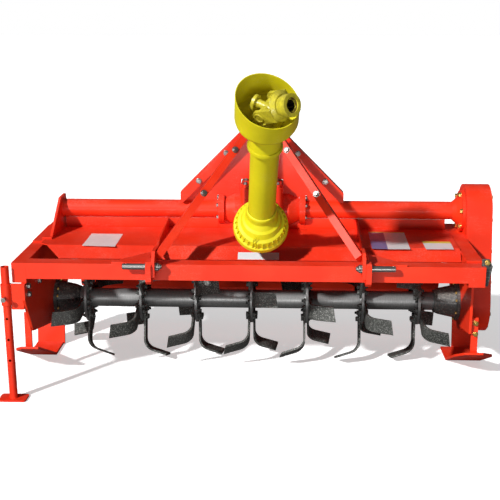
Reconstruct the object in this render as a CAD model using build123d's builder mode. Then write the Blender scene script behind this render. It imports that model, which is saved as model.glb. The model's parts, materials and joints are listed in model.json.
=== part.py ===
from build123d import *
import math
import os

# Rotavator (three-point PTO rotary tiller).  Millimetres, +Z up, +Y to the rear, +X to the
# right as seen from the tractor.  Sizes below are from the hitch centreline at x = 0; each
# piece is saved moved by HITCH_X, so the origin is on the floor under the machine's middle.

# ---------------------------------------------------------------- driving dimensions
BEAM_FRONT_Y = -245.2       # front face of the front beam
HITCH_X = 29.0              # hitch centreline to the right of the machine's middle
FRAME_TOP_Z = 530.0         # top of the front beam and side members
SEAT_GAP = 0.3              # air between curved faces that would otherwise touch
RUN_GAP = 0.05              # radial clearance of a running fit

BEAM_SIDE = 60.0
BEAM_WALL = 5.0

SIDE_HEIGHT = 75.0
SIDE_LENGTH = 630.0
LEFT_SIDE_WIDTH = 52.0
RIGHT_SIDE_WIDTH = 59.0
RIGHT_BOX_LENGTH = 150.0    # boxed front end of the right side member
RIGHT_TOP_T = 8.0           # its top plate, which runs back over the tines
SIDE_PLATE_T = 10.0
LEFT_PLATE_OUT = 31.0       # how far the left plate stands in front of the beam
LEFT_PLATE_FRONT_Z = 396.0  # lower end of its upright front edge
LEFT_PLATE_KNEE_IN = 37.0
LEFT_PLATE_KNEE_Z = 276.0
LEFT_PLATE_FOOT_IN = 53.0
LEFT_PLATE_FOOT_Z = 249.0
PLATE_FRONT_R = 262.0       # right plate's front edge ahead of the rotor
PLATE_LOW_R = 120.0
PLATE_DROP = 90.0          # lower edge of both plates below the rotor
HINGE_EDGE = 22.0

TUBE_R = 36.5
TUBE_WALL = 8.0
TUBE_Y_IN = 510.0           # main tube axis behind the beam's front face
TUBE_Z = 622.0

CASE_DEPTH = 100.0
CASE_WALL = 8.0
CASE_TOP_R = 109.0
CASE_LOW_R = 119.0
CASE_COVER_T = 4.0

ROTOR_Y_IN = 442.0          # rotor axis behind the beam's front face
ROTOR_Z = 256.0
ROTOR_TUBE_R = 38.0
ROTOR_TUBE_WALL = 8.0
HUB_BORE_CLEAR = 6.0        # air round the rotor tube in the side plates and hubs
FLANGE_COUNT = 7
FLANGE_PITCH = 225.5
FIRST_FLANGE_X = -715.0
FLANGE_ROOM_LEFT = 135.0    # from the first flange to the left side member
FLANGE_ROOM_RIGHT = 119.0   # from the last flange to the right side member
FLANGE_R = 98.0
FLANGE_T = 10.0

TINE_TIP_R = 241.0
TINE_WIDTH = 60.0
TINE_T = 8.0
TINE_REACH = 104.0          # sideways reach of a blade from its flange
TINE_BEND_R = 45.0          # inside radius of the bend between shank and blade
TINE_ROOT_R = 58.0
TINE_FLARE = 18.0           # degrees by which the blade slants outward from the rotor's axis
TINE_SLANT = 10.0           # how much longer the blade's trailing edge is
TINE_PHASE = 4.0            # first tine of the first flange, degrees below the front
TINE_STEP = 13.0            # turn from one flange to the next

HOOD_T = 4.0
HOOD_TOP_Z = 545.0
HOOD_FRONT_IN = 155.0       # lower front edge of the hood behind the beam's front face
HOOD_BEND_IN = 204.0
HOOD_REAR_BEND_IN = 590.0
HOOD_REAR_IN = 716.0
HOOD_REAR_Z = 462.0
HOOD_DROP = 40.0
HOOD_CUT_WIDTH = 89.0       # cut-away front left corner
HOOD_CUT_DEPTH = 75.0

REAR_BEAM_SIDE = 50.0
REAR_BEAM_IN = 690.0        # front face of the rear beam behind the beam's front face
REAR_BEAM_TOP_Z = 458.0

BOARD_HINGE_IN = 775.0
BOARD_HINGE_Z = 410.0
BOARD_ROD_R = 8.0
BOARD_KNUCKLE_R = 13.0
BOARD_LENGTH = 250.0
BOARD_T = 4.0
BOARD_SLANT = 20.0          # degrees that the board leans back from hanging
BOARD_LIP = 30.0

LUG_SPREAD = 785.0          # between the middles of the two hitch lugs
LUG_T = 20.0
LUG_FRONT_OUT = 62.0        # how far a lug stands in front of the beam
PIN_R = 11.0
PIN_OUT = 87.0
PIN_Z = 530.0
PIN_OUT_Y = 30.0            # pin axis in front of the beam
LYNCH_R = 6.0

MAST_HEAD_Z = 1136.0        # top link hole
MAST_HEAD_IN = 440.0
MAST_FOOT_HALF = 330.0
MAST_CHEEK_HALF = 27.0      # inner half gap between the head's cheeks
MAST_CHEEK_T = 10.0
TOP_LINK_R = 12.75
STRUT_WIDTH = 37.0
STRUT_DEPTH = 40.0
ARM_T = 12.0
ARM_WIDTH = 28.0            # sloping part of an arm, across and in depth
ARM_DEPTH = 50.0

LEG_OUT = 63.0              # leg axis beside the left side plate
LEG_IN = -14.0              # leg axis behind the beam's front face
LEG_R = 15.0
LEG_WALL = 3.0
LEG_TOP_Z = 520.0
LEG_HOLE_PITCH = 82.0
LEG_SLEEVE_LOW_Z = 374.0
LEG_SLEEVE_LENGTH = 80.0
FOOT_T = 6.0
FOOT_WIDTH = 104.0
FOOT_DEPTH = 64.0

SKID_T = 10.0
SKID_STRAP_WIDTH = 26.0
SKID_NOSE_IN = 160.0
SKID_NOSE_Z = 136.0
SKID_FLAT_FRONT_IN = 430.0
SKID_FLAT_REAR_IN = 560.0
SKID_STRAP_IN = 196.0
SKID_STRAP_LEAN = 8.0
SKID_STRAP_SINK = 20.0      # foot of the strap below the nose, on the sloping sole
SKID_STRAP_TOP_Z = 264.0
SKID_REAR_TOP_IN = 610.0
SKID_REAR_TOP_Z = 285.0

GEARBOX_WIDTH = 170.0
GEARBOX_DEPTH = 200.0
GEARBOX_HEIGHT = 180.0
INPUT_X = 5.0               # input shaft to the right of the hitch centreline
INPUT_Z = 647.0
INPUT_R = 17.5
JOINT_IN = 115.0            # lower universal joint behind the beam's front face
SHAFT_TILT = 50.0           # elevation of the PTO shaft, degrees
SHAFT_LEAN = 2.6            # sideways lean to the right, degrees
SHAFT_LENGTH = 635.0        # between the two joint centres
UPPER_TURN = -30.0          # ears of the upper yoke turned about the shaft, degrees
CROSS_DROOP = 7.0           # rest angle of the upper cross off the shaft, degrees
HUB_BEND = 52.5             # rest angle of the splined hub on its cross, degrees
HUB_BORE_R = 17.5
HUB_R = 36.0
YOKE_R = 32.0
TRUNNION_R = 14.0
CAP_HALF = 49.0             # half length of a cross over its caps
EAR_T = 11.0
EAR_R = 24.0
GUARD_R = 48.5
GUARD_WALL = 3.0
GUARD_INNER_R = 45.0
GUARD_START = 92.0          # outer guard tube from the lower joint centre
GUARD_SETBACK = 188.0       # and its upper end short of the upper joint centre
BELL_R = 102.5              # rim of the lower bell
BELL_TILT = 32.0            # elevation of the lower bell's rim axis, degrees
CUP_R = 105.0               # rim of the upper bell
CUP_DROOP = 7.0             # its axis forward of the shaft, degrees
CUP_TURN = 14.0             # its rim turned to the right, degrees
BELL_WALL = 3.0

# ---------------------------------------------------------------- places worked out from them
F = BEAM_FRONT_Y
TUBE_Y = F + TUBE_Y_IN
ROTOR_Y = F + ROTOR_Y_IN
FRAME_LOW_Z = FRAME_TOP_Z - SIDE_HEIGHT
LEFT_SIDE_IN_X = FIRST_FLANGE_X - FLANGE_ROOM_LEFT     # inner faces of the side members
RIGHT_SIDE_IN_X = FIRST_FLANGE_X + (FLANGE_COUNT - 1) * FLANGE_PITCH + FLANGE_ROOM_RIGHT
BEAM_RIGHT_X = RIGHT_SIDE_IN_X + RIGHT_SIDE_WIDTH
CASE_IN_X = BEAM_RIGHT_X    # inner wall of the chain case
LEG_X = LEFT_SIDE_IN_X - SIDE_PLATE_T - LEG_OUT
JOINT_Y = F + JOINT_IN
HINGE_Y = F + BOARD_HINGE_IN
GEARBOX_FRONT_Y = TUBE_Y - GEARBOX_DEPTH / 2

os.makedirs("parts", exist_ok=True)


def save(part, name):
    """Put one finished piece in its place in the machine, label it and write it."""
    placed = part.moved(Location((HITCH_X, 0, 0)))
    placed.label = name
    export_step(placed, "parts/" + name + ".step")


# ---------------------------------------------------------------- frame
with BuildPart() as front_beam:
    with BuildSketch(Plane.YZ.offset(LEFT_SIDE_IN_X)):
        with Locations((F + BEAM_SIDE / 2, FRAME_TOP_Z - BEAM_SIDE / 2)):
            Rectangle(BEAM_SIDE, BEAM_SIDE)
            Rectangle(BEAM_SIDE - 2 * BEAM_WALL, BEAM_SIDE - 2 * BEAM_WALL, mode=Mode.SUBTRACT)
    extrude(amount=RIGHT_SIDE_IN_X - LEFT_SIDE_IN_X)
save(front_beam.part, "front_beam")

with BuildPart() as side_member_left:
    with BuildSketch(Plane.XY.offset(FRAME_LOW_Z)):
        with Locations((LEFT_SIDE_IN_X, F)):
            Rectangle(LEFT_SIDE_WIDTH, SIDE_LENGTH, align=(Align.MAX, Align.MIN))
    extrude(amount=SIDE_HEIGHT)
    with BuildSketch(Plane.XZ.offset(-F)):
        with Locations((LEFT_SIDE_IN_X - LEFT_SIDE_WIDTH / 2, FRAME_TOP_Z - SIDE_HEIGHT / 2)):
            Rectangle(LEFT_SIDE_WIDTH - 2 * BEAM_WALL, SIDE_HEIGHT - 2 * BEAM_WALL)
    extrude(amount=-SIDE_LENGTH + BEAM_WALL, mode=Mode.SUBTRACT)
    with BuildSketch(Plane.XZ.offset(-F)):
        with Locations((LEFT_SIDE_IN_X - LEFT_SIDE_WIDTH / 2, FRAME_TOP_Z - SIDE_HEIGHT / 2)):
            Rectangle(LEFT_SIDE_WIDTH - BEAM_WALL, SIDE_HEIGHT - BEAM_WALL)
    extrude(amount=-BEAM_WALL)
save(side_member_left.part, "side_member_left")

with BuildPart() as side_member_right:
    with BuildSketch(Plane.XY.offset(FRAME_LOW_Z)):
        with Locations((RIGHT_SIDE_IN_X, F)):
            Rectangle(RIGHT_SIDE_WIDTH, RIGHT_BOX_LENGTH, align=(Align.MIN, Align.MIN))
    extrude(amount=SIDE_HEIGHT)
    with BuildSketch(Plane.XY.offset(FRAME_LOW_Z + BEAM_WALL)):
        with Locations((RIGHT_SIDE_IN_X + BEAM_WALL, F + BEAM_WALL)):
            Rectangle(
                RIGHT_SIDE_WIDTH - 2 * BEAM_WALL,
                RIGHT_BOX_LENGTH - 2 * BEAM_WALL,
                align=(Align.MIN, Align.MIN),
            )
    extrude(amount=SIDE_HEIGHT - 2 * BEAM_WALL, mode=Mode.SUBTRACT)
    with BuildSketch(Plane.XY.offset(FRAME_TOP_Z)):
        with BuildLine():
            Polyline(
                (RIGHT_SIDE_IN_X, F + BEAM_SIDE),
                (BEAM_RIGHT_X, F + BEAM_SIDE),
                (BEAM_RIGHT_X, F + SIDE_LENGTH),
                (RIGHT_SIDE_IN_X, F + SIDE_LENGTH),
                close=True,
            )
        make_face()
    extrude(amount=RIGHT_TOP_T)
save(side_member_right.part, "side_member_right")


def side_rear():
    """Rear and lower edge of a side plate in side view, from the rear beam to below the rotor."""
    return [
        (F + REAR_BEAM_IN + REAR_BEAM_SIDE, REAR_BEAM_TOP_Z - BEAM_WALL),
        (HINGE_Y + HINGE_EDGE, BOARD_HINGE_Z + HINGE_EDGE),
        (HINGE_Y + HINGE_EDGE, BOARD_HINGE_Z - HINGE_EDGE),
        (ROTOR_Y + PLATE_LOW_R, ROTOR_Z - PLATE_DROP / 2),
        (ROTOR_Y + PLATE_DROP / 2, ROTOR_Z - PLATE_DROP),
        (ROTOR_Y - PLATE_DROP / 2, ROTOR_Z - PLATE_DROP),
    ]


for name, low_x, front in (
    (
        "left",
        LEFT_SIDE_IN_X - SIDE_PLATE_T,
        [
            (F + LEFT_PLATE_FOOT_IN, LEFT_PLATE_FOOT_Z),
            (F + LEFT_PLATE_KNEE_IN, LEFT_PLATE_KNEE_Z),
            (F - LEFT_PLATE_OUT, LEFT_PLATE_FRONT_Z),
            (F - LEFT_PLATE_OUT, FRAME_LOW_Z),
            (F + SIDE_LENGTH, FRAME_LOW_Z),
        ],
    ),
    (
        "right",
        CASE_IN_X - SIDE_PLATE_T,
        [
            (ROTOR_Y - PLATE_FRONT_R, ROTOR_Z - PLATE_DROP / 2),
            (ROTOR_Y - PLATE_FRONT_R, FRAME_TOP_Z),
            (F + SIDE_LENGTH, FRAME_TOP_Z),
        ],
    ),
):
    with BuildPart() as side_plate:
        with BuildSketch(Plane.YZ.offset(low_x)):
            with BuildLine():
                Polyline(*side_rear(), *front, close=True)
            make_face()
            with Locations((ROTOR_Y, ROTOR_Z)):
                Circle(ROTOR_TUBE_R + HUB_BORE_CLEAR, mode=Mode.SUBTRACT)
            with Locations((HINGE_Y, BOARD_HINGE_Z)):
                Circle(BOARD_ROD_R, mode=Mode.SUBTRACT)
        extrude(amount=SIDE_PLATE_T)
    save(side_plate.part, "side_plate_" + name)

with BuildPart() as rear_beam:
    with BuildSketch(Plane.YZ.offset(LEFT_SIDE_IN_X)):
        with Locations((F + REAR_BEAM_IN + REAR_BEAM_SIDE / 2, REAR_BEAM_TOP_Z - REAR_BEAM_SIDE / 2)):
            Rectangle(REAR_BEAM_SIDE, REAR_BEAM_SIDE)
            Rectangle(REAR_BEAM_SIDE - 2 * BEAM_WALL, REAR_BEAM_SIDE - 2 * BEAM_WALL, mode=Mode.SUBTRACT)
    extrude(amount=CASE_IN_X - SIDE_PLATE_T - LEFT_SIDE_IN_X)
save(rear_beam.part, "rear_beam")

# ---------------------------------------------------------------- main tube, its plates and the hood
BELL_FLANGE_R = 84.0
BELL_FLANGE_T = 12.0
BELL_LENGTH = 44.0
TUBE_FLANGE_R = 60.0
TRUMPET_R = 66.0            # root of the gearbox's side trumpets
TRUMPET_NECK_R = 46.0
TRUMPET_LENGTH = 80.0
TUBE_FLANGE_T = 12.0
END_PLATE_T = 10.0
FOOT_FLANGE_T = 8.0
END_FOOT_FRONT = 225.0      # front and rear ends of the end plate's foot from the tube axis
END_FOOT_REAR = 90.0
END_SHOULDER = 42.0
END_RISE = 51.0
END_PLATE_X = LEFT_SIDE_IN_X + 30
TUBE_IN_X = GEARBOX_WIDTH / 2 + TRUMPET_LENGTH

with BuildPart() as main_tube_left:
    with BuildSketch(Plane.YZ.offset(END_PLATE_X)):
        with Locations((TUBE_Y, TUBE_Z)):
            Circle(TUBE_R)
            Circle(TUBE_R - TUBE_WALL, mode=Mode.SUBTRACT)
    extrude(amount=-TUBE_IN_X - END_PLATE_X)
    with BuildSketch(Plane.YZ.offset(-TUBE_IN_X)):
        with Locations((TUBE_Y, TUBE_Z)):
            Circle(TUBE_FLANGE_R)
            Circle(TUBE_R - TUBE_WALL, mode=Mode.SUBTRACT)
    extrude(amount=-TUBE_FLANGE_T)
save(main_tube_left.part, "main_tube_left")

with BuildPart() as main_tube_right:
    with BuildSketch(Plane.XY.offset(TUBE_Z)):
        with BuildLine():
            Polyline(
                (TUBE_IN_X, TUBE_Y + TUBE_R - TUBE_WALL),
                (TUBE_IN_X, TUBE_Y + TUBE_FLANGE_R),
                (TUBE_IN_X + TUBE_FLANGE_T, TUBE_Y + TUBE_FLANGE_R),
                (TUBE_IN_X + TUBE_FLANGE_T, TUBE_Y + TUBE_R),
                (CASE_IN_X - BELL_LENGTH, TUBE_Y + TUBE_R),
                (CASE_IN_X - BELL_LENGTH + 14, TUBE_Y + TUBE_R + 12),
                (CASE_IN_X - BELL_FLANGE_T, TUBE_Y + BELL_FLANGE_R - 14),
                (CASE_IN_X - BELL_FLANGE_T, TUBE_Y + BELL_FLANGE_R),
                (CASE_IN_X, TUBE_Y + BELL_FLANGE_R),
                (CASE_IN_X, TUBE_Y + TUBE_R - TUBE_WALL),
                close=True,
            )
        make_face()
    revolve(axis=Axis((0, TUBE_Y, TUBE_Z), (1, 0, 0)))
save(main_tube_right.part, "main_tube_right")

with BuildPart() as tube_end_plate:
    with BuildSketch(Plane.YZ.offset(END_PLATE_X - END_PLATE_T)):
        with BuildLine():
            Polyline(
                (TUBE_Y - END_FOOT_FRONT, HOOD_TOP_Z),
                (TUBE_Y - END_SHOULDER, TUBE_Z + END_RISE),
                (TUBE_Y + END_SHOULDER, TUBE_Z + END_RISE),
                (TUBE_Y + END_FOOT_REAR, HOOD_TOP_Z),
                close=True,
            )
        make_face()
        with Locations((TUBE_Y, TUBE_Z)):
            Circle(TUBE_R - TUBE_WALL, mode=Mode.SUBTRACT)
    extrude(amount=END_PLATE_T)
    with BuildSketch(Plane.XZ.offset(-(TUBE_Y - END_FOOT_FRONT))):
        with BuildLine():
            Polyline(
                (LEFT_SIDE_IN_X - LEFT_SIDE_WIDTH + BEAM_WALL, FRAME_TOP_Z),
                (LEFT_SIDE_IN_X, FRAME_TOP_Z),
                (LEFT_SIDE_IN_X, HOOD_TOP_Z),
                (END_PLATE_X, HOOD_TOP_Z),
                (END_PLATE_X, HOOD_TOP_Z + FOOT_FLANGE_T),
                (LEFT_SIDE_IN_X - FOOT_FLANGE_T, HOOD_TOP_Z + FOOT_FLANGE_T),
                (LEFT_SIDE_IN_X - FOOT_FLANGE_T, FRAME_TOP_Z + FOOT_FLANGE_T),
                (LEFT_SIDE_IN_X - LEFT_SIDE_WIDTH + BEAM_WALL, FRAME_TOP_Z + FOOT_FLANGE_T),
                close=True,
            )
        make_face()
    extrude(amount=-END_SHOULDER - END_FOOT_FRONT)
save(tube_end_plate.part, "tube_end_plate")

WEB_T = 8.0
WEB_REAR_IN = 12.0          # rear face of the web in front of the tube axis
WEB_Y = TUBE_Y - WEB_REAR_IN - WEB_T
WEB_TOP_Z = TUBE_Z - math.sqrt(TUBE_R**2 - WEB_REAR_IN**2) - SEAT_GAP
with BuildPart() as tube_web:
    for low_x, high_x in ((END_PLATE_X, -TUBE_IN_X), (TUBE_IN_X, RIGHT_SIDE_IN_X)):
        with BuildSketch(Plane.XZ.offset(-WEB_Y)):
            with Locations((low_x + TUBE_FLANGE_T, HOOD_TOP_Z)):
                Rectangle(
                    high_x - low_x - 2 * TUBE_FLANGE_T, WEB_TOP_Z - HOOD_TOP_Z, align=(Align.MIN, Align.MIN)
                )
        extrude(amount=-WEB_T)
save(tube_web.part, "tube_web")

with BuildPart() as hood:
    with BuildSketch(Plane.YZ.offset(LEFT_SIDE_IN_X)):
        with BuildLine():
            Polyline(
                (F + HOOD_FRONT_IN, HOOD_TOP_Z - HOOD_DROP),
                (F + HOOD_BEND_IN, HOOD_TOP_Z),
                (F + HOOD_REAR_BEND_IN, HOOD_TOP_Z),
                (F + HOOD_REAR_IN, HOOD_REAR_Z),
            )
            offset(amount=-HOOD_T, side=Side.RIGHT)
        make_face()
    extrude(amount=RIGHT_SIDE_IN_X - LEFT_SIDE_IN_X)
    with BuildSketch(Plane.XY.offset(FRAME_LOW_Z)):
        with BuildLine():
            Polyline(
                (LEFT_SIDE_IN_X, F + HOOD_FRONT_IN + HOOD_CUT_DEPTH),
                (LEFT_SIDE_IN_X, F + HOOD_FRONT_IN - HOOD_CUT_DEPTH),
                (LEFT_SIDE_IN_X + 2 * HOOD_CUT_WIDTH, F + HOOD_FRONT_IN - HOOD_CUT_DEPTH),
                close=True,
            )
        make_face()
    extrude(amount=HOOD_TOP_Z - FRAME_LOW_Z + HOOD_T, mode=Mode.SUBTRACT)
save(hood.part, "hood")

# ---------------------------------------------------------------- gearbox and chain case
GEARBOX_LOW_Z = TUBE_Z - 75
GEARBOX_CORNER_R = 20.0
GEARBOX_COVER_T = 14.0
COVER_INSET = 6.0           # bare rim of the gearbox round its cover
INPUT_BOSS_R = 56.0
INPUT_BOSS_LENGTH = 22.0
INPUT_NOSE_R = 38.0
INPUT_NOSE_LENGTH = 18.0
INPUT_OUT = INPUT_BOSS_LENGTH + INPUT_NOSE_LENGTH
FILLER_R = 14.0
FILLER_LENGTH = 20.0
FILLER_X = -35.0
FILLER_Y = TUBE_Y + 50
with BuildPart() as gearbox:
    with BuildSketch(Plane.XY.offset(GEARBOX_LOW_Z)):
        with Locations((0, TUBE_Y)):
            RectangleRounded(GEARBOX_WIDTH, GEARBOX_DEPTH, GEARBOX_CORNER_R)
    extrude(amount=GEARBOX_HEIGHT)
    with BuildSketch(Plane.XZ.offset(-GEARBOX_FRONT_Y)):
        with Locations((INPUT_X, INPUT_Z)):
            Circle(INPUT_BOSS_R)
    extrude(amount=INPUT_BOSS_LENGTH)
    with BuildSketch(Plane.XZ.offset(-GEARBOX_FRONT_Y + INPUT_BOSS_LENGTH)):
        with Locations((INPUT_X, INPUT_Z)):
            Circle(INPUT_NOSE_R)
    extrude(amount=INPUT_NOSE_LENGTH)
    for way in (-1, 1):
        with BuildSketch(Plane.XY.offset(TUBE_Z)):
            with BuildLine():
                Polyline(
                    (way * (GEARBOX_WIDTH / 2 - 1), TUBE_Y),
                    (way * (GEARBOX_WIDTH / 2 - 1), TUBE_Y + TRUMPET_R),
                    (way * (GEARBOX_WIDTH / 2 + TRUMPET_LENGTH * 0.3), TUBE_Y + TRUMPET_R),
                    (way * (TUBE_IN_X - TUBE_FLANGE_T), TUBE_Y + TRUMPET_NECK_R),
                    (way * (TUBE_IN_X - TUBE_FLANGE_T), TUBE_Y + TUBE_FLANGE_R),
                    (way * TUBE_IN_X, TUBE_Y + TUBE_FLANGE_R),
                    (way * TUBE_IN_X, TUBE_Y),
                    close=True,
                )
            make_face()
        revolve(axis=Axis((0, TUBE_Y, TUBE_Z), (1, 0, 0)))
save(gearbox.part, "gearbox")

with BuildPart() as gearbox_cover:
    with BuildSketch(Plane.XY.offset(GEARBOX_LOW_Z + GEARBOX_HEIGHT)):
        with Locations((0, TUBE_Y)):
            RectangleRounded(
                GEARBOX_WIDTH - 2 * COVER_INSET,
                GEARBOX_DEPTH - 2 * COVER_INSET,
                GEARBOX_CORNER_R - COVER_INSET,
            )
    extrude(amount=GEARBOX_COVER_T)
    with BuildSketch(Plane.XY.offset(GEARBOX_LOW_Z + GEARBOX_HEIGHT + GEARBOX_COVER_T)):
        with Locations((FILLER_X, FILLER_Y)):
            Circle(FILLER_R)
    extrude(amount=FILLER_LENGTH)
save(gearbox_cover.part, "gearbox_cover")


def case_outline():
    """Two circles about the drive shaft and the rotor, wrapped by their common tangents."""
    with Locations((TUBE_Y, TUBE_Z)):
        Circle(CASE_TOP_R)
    with Locations((ROTOR_Y, ROTOR_Z)):
        Circle(CASE_LOW_R)
    make_hull()


with BuildPart() as chain_case:
    with BuildSketch(Plane.YZ.offset(CASE_IN_X)):
        case_outline()
    extrude(amount=CASE_DEPTH)
    with BuildSketch(Plane.YZ.offset(CASE_IN_X + CASE_WALL)):
        case_outline()
        offset(amount=-CASE_WALL, mode=Mode.REPLACE)
    extrude(amount=CASE_DEPTH - CASE_WALL, mode=Mode.SUBTRACT)
save(chain_case.part, "chain_case")

with BuildPart() as chain_case_cover:
    with BuildSketch(Plane.YZ.offset(CASE_IN_X + CASE_DEPTH)):
        case_outline()
    extrude(amount=CASE_COVER_T)
save(chain_case_cover.part, "chain_case_cover")

CASE_BRACKET_T = 8.0
CASE_BRACKET_WIDTH = 26.0
CASE_BRACKET_IN = 16.0      # its front face behind the beam's front face
CASE_BRACKET_TOP_Z = 556.0
with BuildPart() as case_bracket:
    with BuildSketch(Plane.XZ.offset(-(F + CASE_BRACKET_IN))):
        with BuildLine():
            Polyline(
                (BEAM_RIGHT_X, FRAME_LOW_Z),
                (BEAM_RIGHT_X, FRAME_TOP_Z),
                (BEAM_RIGHT_X - CASE_BRACKET_WIDTH / 2, FRAME_TOP_Z),
                (BEAM_RIGHT_X - CASE_BRACKET_WIDTH / 2, CASE_BRACKET_TOP_Z),
                (BEAM_RIGHT_X + CASE_BRACKET_WIDTH / 2, CASE_BRACKET_TOP_Z),
                (BEAM_RIGHT_X + CASE_BRACKET_WIDTH, FRAME_TOP_Z),
                (BEAM_RIGHT_X + CASE_BRACKET_WIDTH / 2, FRAME_LOW_Z),
                close=True,
            )
        make_face()
    extrude(amount=-CASE_BRACKET_T)
save(case_bracket.part, "case_bracket")

# ---------------------------------------------------------------- rotor bearings
HUB_CONE_LENGTH = 100.0
HUB_FLANGE_T = 14.0
HUB_FLANGE_R = 78.0
HUB_CONE_R = 68.0
HUB_NOSE_R = 54.0

for name, wall_x, way in (("left", LEFT_SIDE_IN_X, 1), ("right", CASE_IN_X - SIDE_PLATE_T, -1)):
    with BuildPart() as bearing:
        with BuildSketch(Plane.XY.offset(ROTOR_Z)):
            with BuildLine():
                Polyline(
                    (wall_x, ROTOR_Y + ROTOR_TUBE_R + HUB_BORE_CLEAR),
                    (wall_x, ROTOR_Y + HUB_FLANGE_R),
                    (wall_x + way * HUB_FLANGE_T, ROTOR_Y + HUB_FLANGE_R),
                    (wall_x + way * HUB_FLANGE_T, ROTOR_Y + HUB_CONE_R),
                    (wall_x + way * HUB_CONE_LENGTH * 0.8, ROTOR_Y + HUB_NOSE_R),
                    (wall_x + way * HUB_CONE_LENGTH, ROTOR_Y + HUB_NOSE_R - 8),
                    (wall_x + way * HUB_CONE_LENGTH, ROTOR_Y + ROTOR_TUBE_R + RUN_GAP),
                    (wall_x + way * HUB_CONE_LENGTH * 0.6, ROTOR_Y + ROTOR_TUBE_R + RUN_GAP),
                    (wall_x + way * HUB_CONE_LENGTH * 0.6, ROTOR_Y + ROTOR_TUBE_R + HUB_BORE_CLEAR),
                    close=True,
                )
            make_face()
        revolve(axis=Axis((0, ROTOR_Y, ROTOR_Z), (1, 0, 0)))
    save(bearing.part, "rotor_bearing_" + name)

# ---------------------------------------------------------------- rotor with its flanges and tines
ROTOR_LEFT_X = LEFT_SIDE_IN_X + 25
ROTOR_RIGHT_X = CASE_IN_X - SIDE_PLATE_T - 25
FLANGE_XS = [FIRST_FLANGE_X + k * FLANGE_PITCH for k in range(FLANGE_COUNT)]
TINES_PER_FLANGE = 6

with BuildPart() as rotor_shaft:
    with BuildSketch(Plane.YZ.offset(ROTOR_LEFT_X)):
        with Locations((ROTOR_Y, ROTOR_Z)):
            Circle(ROTOR_TUBE_R)
            Circle(ROTOR_TUBE_R - ROTOR_TUBE_WALL, mode=Mode.SUBTRACT)
    extrude(amount=ROTOR_RIGHT_X - ROTOR_LEFT_X)
    for x in FLANGE_XS:
        with BuildSketch(Plane.YZ.offset(x - FLANGE_T / 2)):
            with Locations((ROTOR_Y, ROTOR_Z)):
                Circle(FLANGE_R)
                Circle(ROTOR_TUBE_R - 1, mode=Mode.SUBTRACT)
        extrude(amount=FLANGE_T)
save(rotor_shaft.part, "rotor_shaft")


def tine(flange_x, way, angle):
    """One tine: a flat bar bolted to the flange's side that curves into a sideways flared blade."""
    out = math.radians(angle)
    radial = Vector(0, -math.cos(out), -math.sin(out))
    side = Vector(way, 0, 0)
    root = Vector(flange_x + way * FLANGE_T / 2, ROTOR_Y, ROTOR_Z)
    profile_plane = Plane(origin=root, x_dir=radial, z_dir=radial.cross(side))
    flare = math.radians(TINE_FLARE)
    knee = TINE_TIP_R - TINE_REACH * math.tan(flare)
    inner_knee = (knee + TINE_T * (math.tan(flare) - 1 / math.cos(flare)), TINE_T)
    with BuildPart() as blade:
        with BuildSketch(profile_plane.offset(-TINE_WIDTH / 2)):
            with BuildLine():
                Polyline(
                    (TINE_ROOT_R, 0),
                    (knee, 0),
                    (TINE_TIP_R, TINE_REACH),
                    (TINE_TIP_R - TINE_T / math.cos(flare), TINE_REACH),
                    inner_knee,
                    (TINE_ROOT_R, TINE_T),
                    close=True,
                )
            make_face()
            fillet(vertices().sort_by_distance(inner_knee)[0], TINE_BEND_R)
            fillet(vertices().sort_by_distance((knee, 0))[0], TINE_BEND_R + TINE_T)
        extrude(amount=TINE_WIDTH)
        with BuildSketch(Plane(origin=root, x_dir=side, z_dir=radial)):
            with BuildLine():
                Polyline(
                    (0, -way * TINE_WIDTH / 2),
                    (TINE_REACH, -way * TINE_WIDTH / 2),
                    (TINE_REACH - TINE_SLANT, way * TINE_WIDTH / 2),
                    (0, way * TINE_WIDTH / 2),
                    close=True,
                )
            make_face()
        extrude(amount=TINE_TIP_R, mode=Mode.INTERSECT)
    return blade.part


for name, way, first in (("left", -1, 0), ("right", 1, 1)):
    blades = []
    for k, x in enumerate(FLANGE_XS):
        for j in range(first, TINES_PER_FLANGE, 2):
            blades.append(tine(x, way, TINE_PHASE + TINE_STEP * k + j * 360 / TINES_PER_FLANGE))
    save(Compound(children=blades), "tines_" + name)

# ---------------------------------------------------------------- three-point hitch
LUG_LOW_Z = FRAME_TOP_Z - BEAM_SIDE
LUG_TOP_Z = FRAME_TOP_Z + 22
STRIP_T = 8.0
STRIP_REAR_Y = WEB_Y
PIN_Y = F - PIN_OUT_Y
PIN_TAIL = 18.0
PIN_FLANGE_R = 16.0
PIN_FLANGE_T = 4.0
LYNCH_IN = 12.0
GUSSET_DEPTH = 150.0
GUSSET_REACH = 132.0

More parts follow.
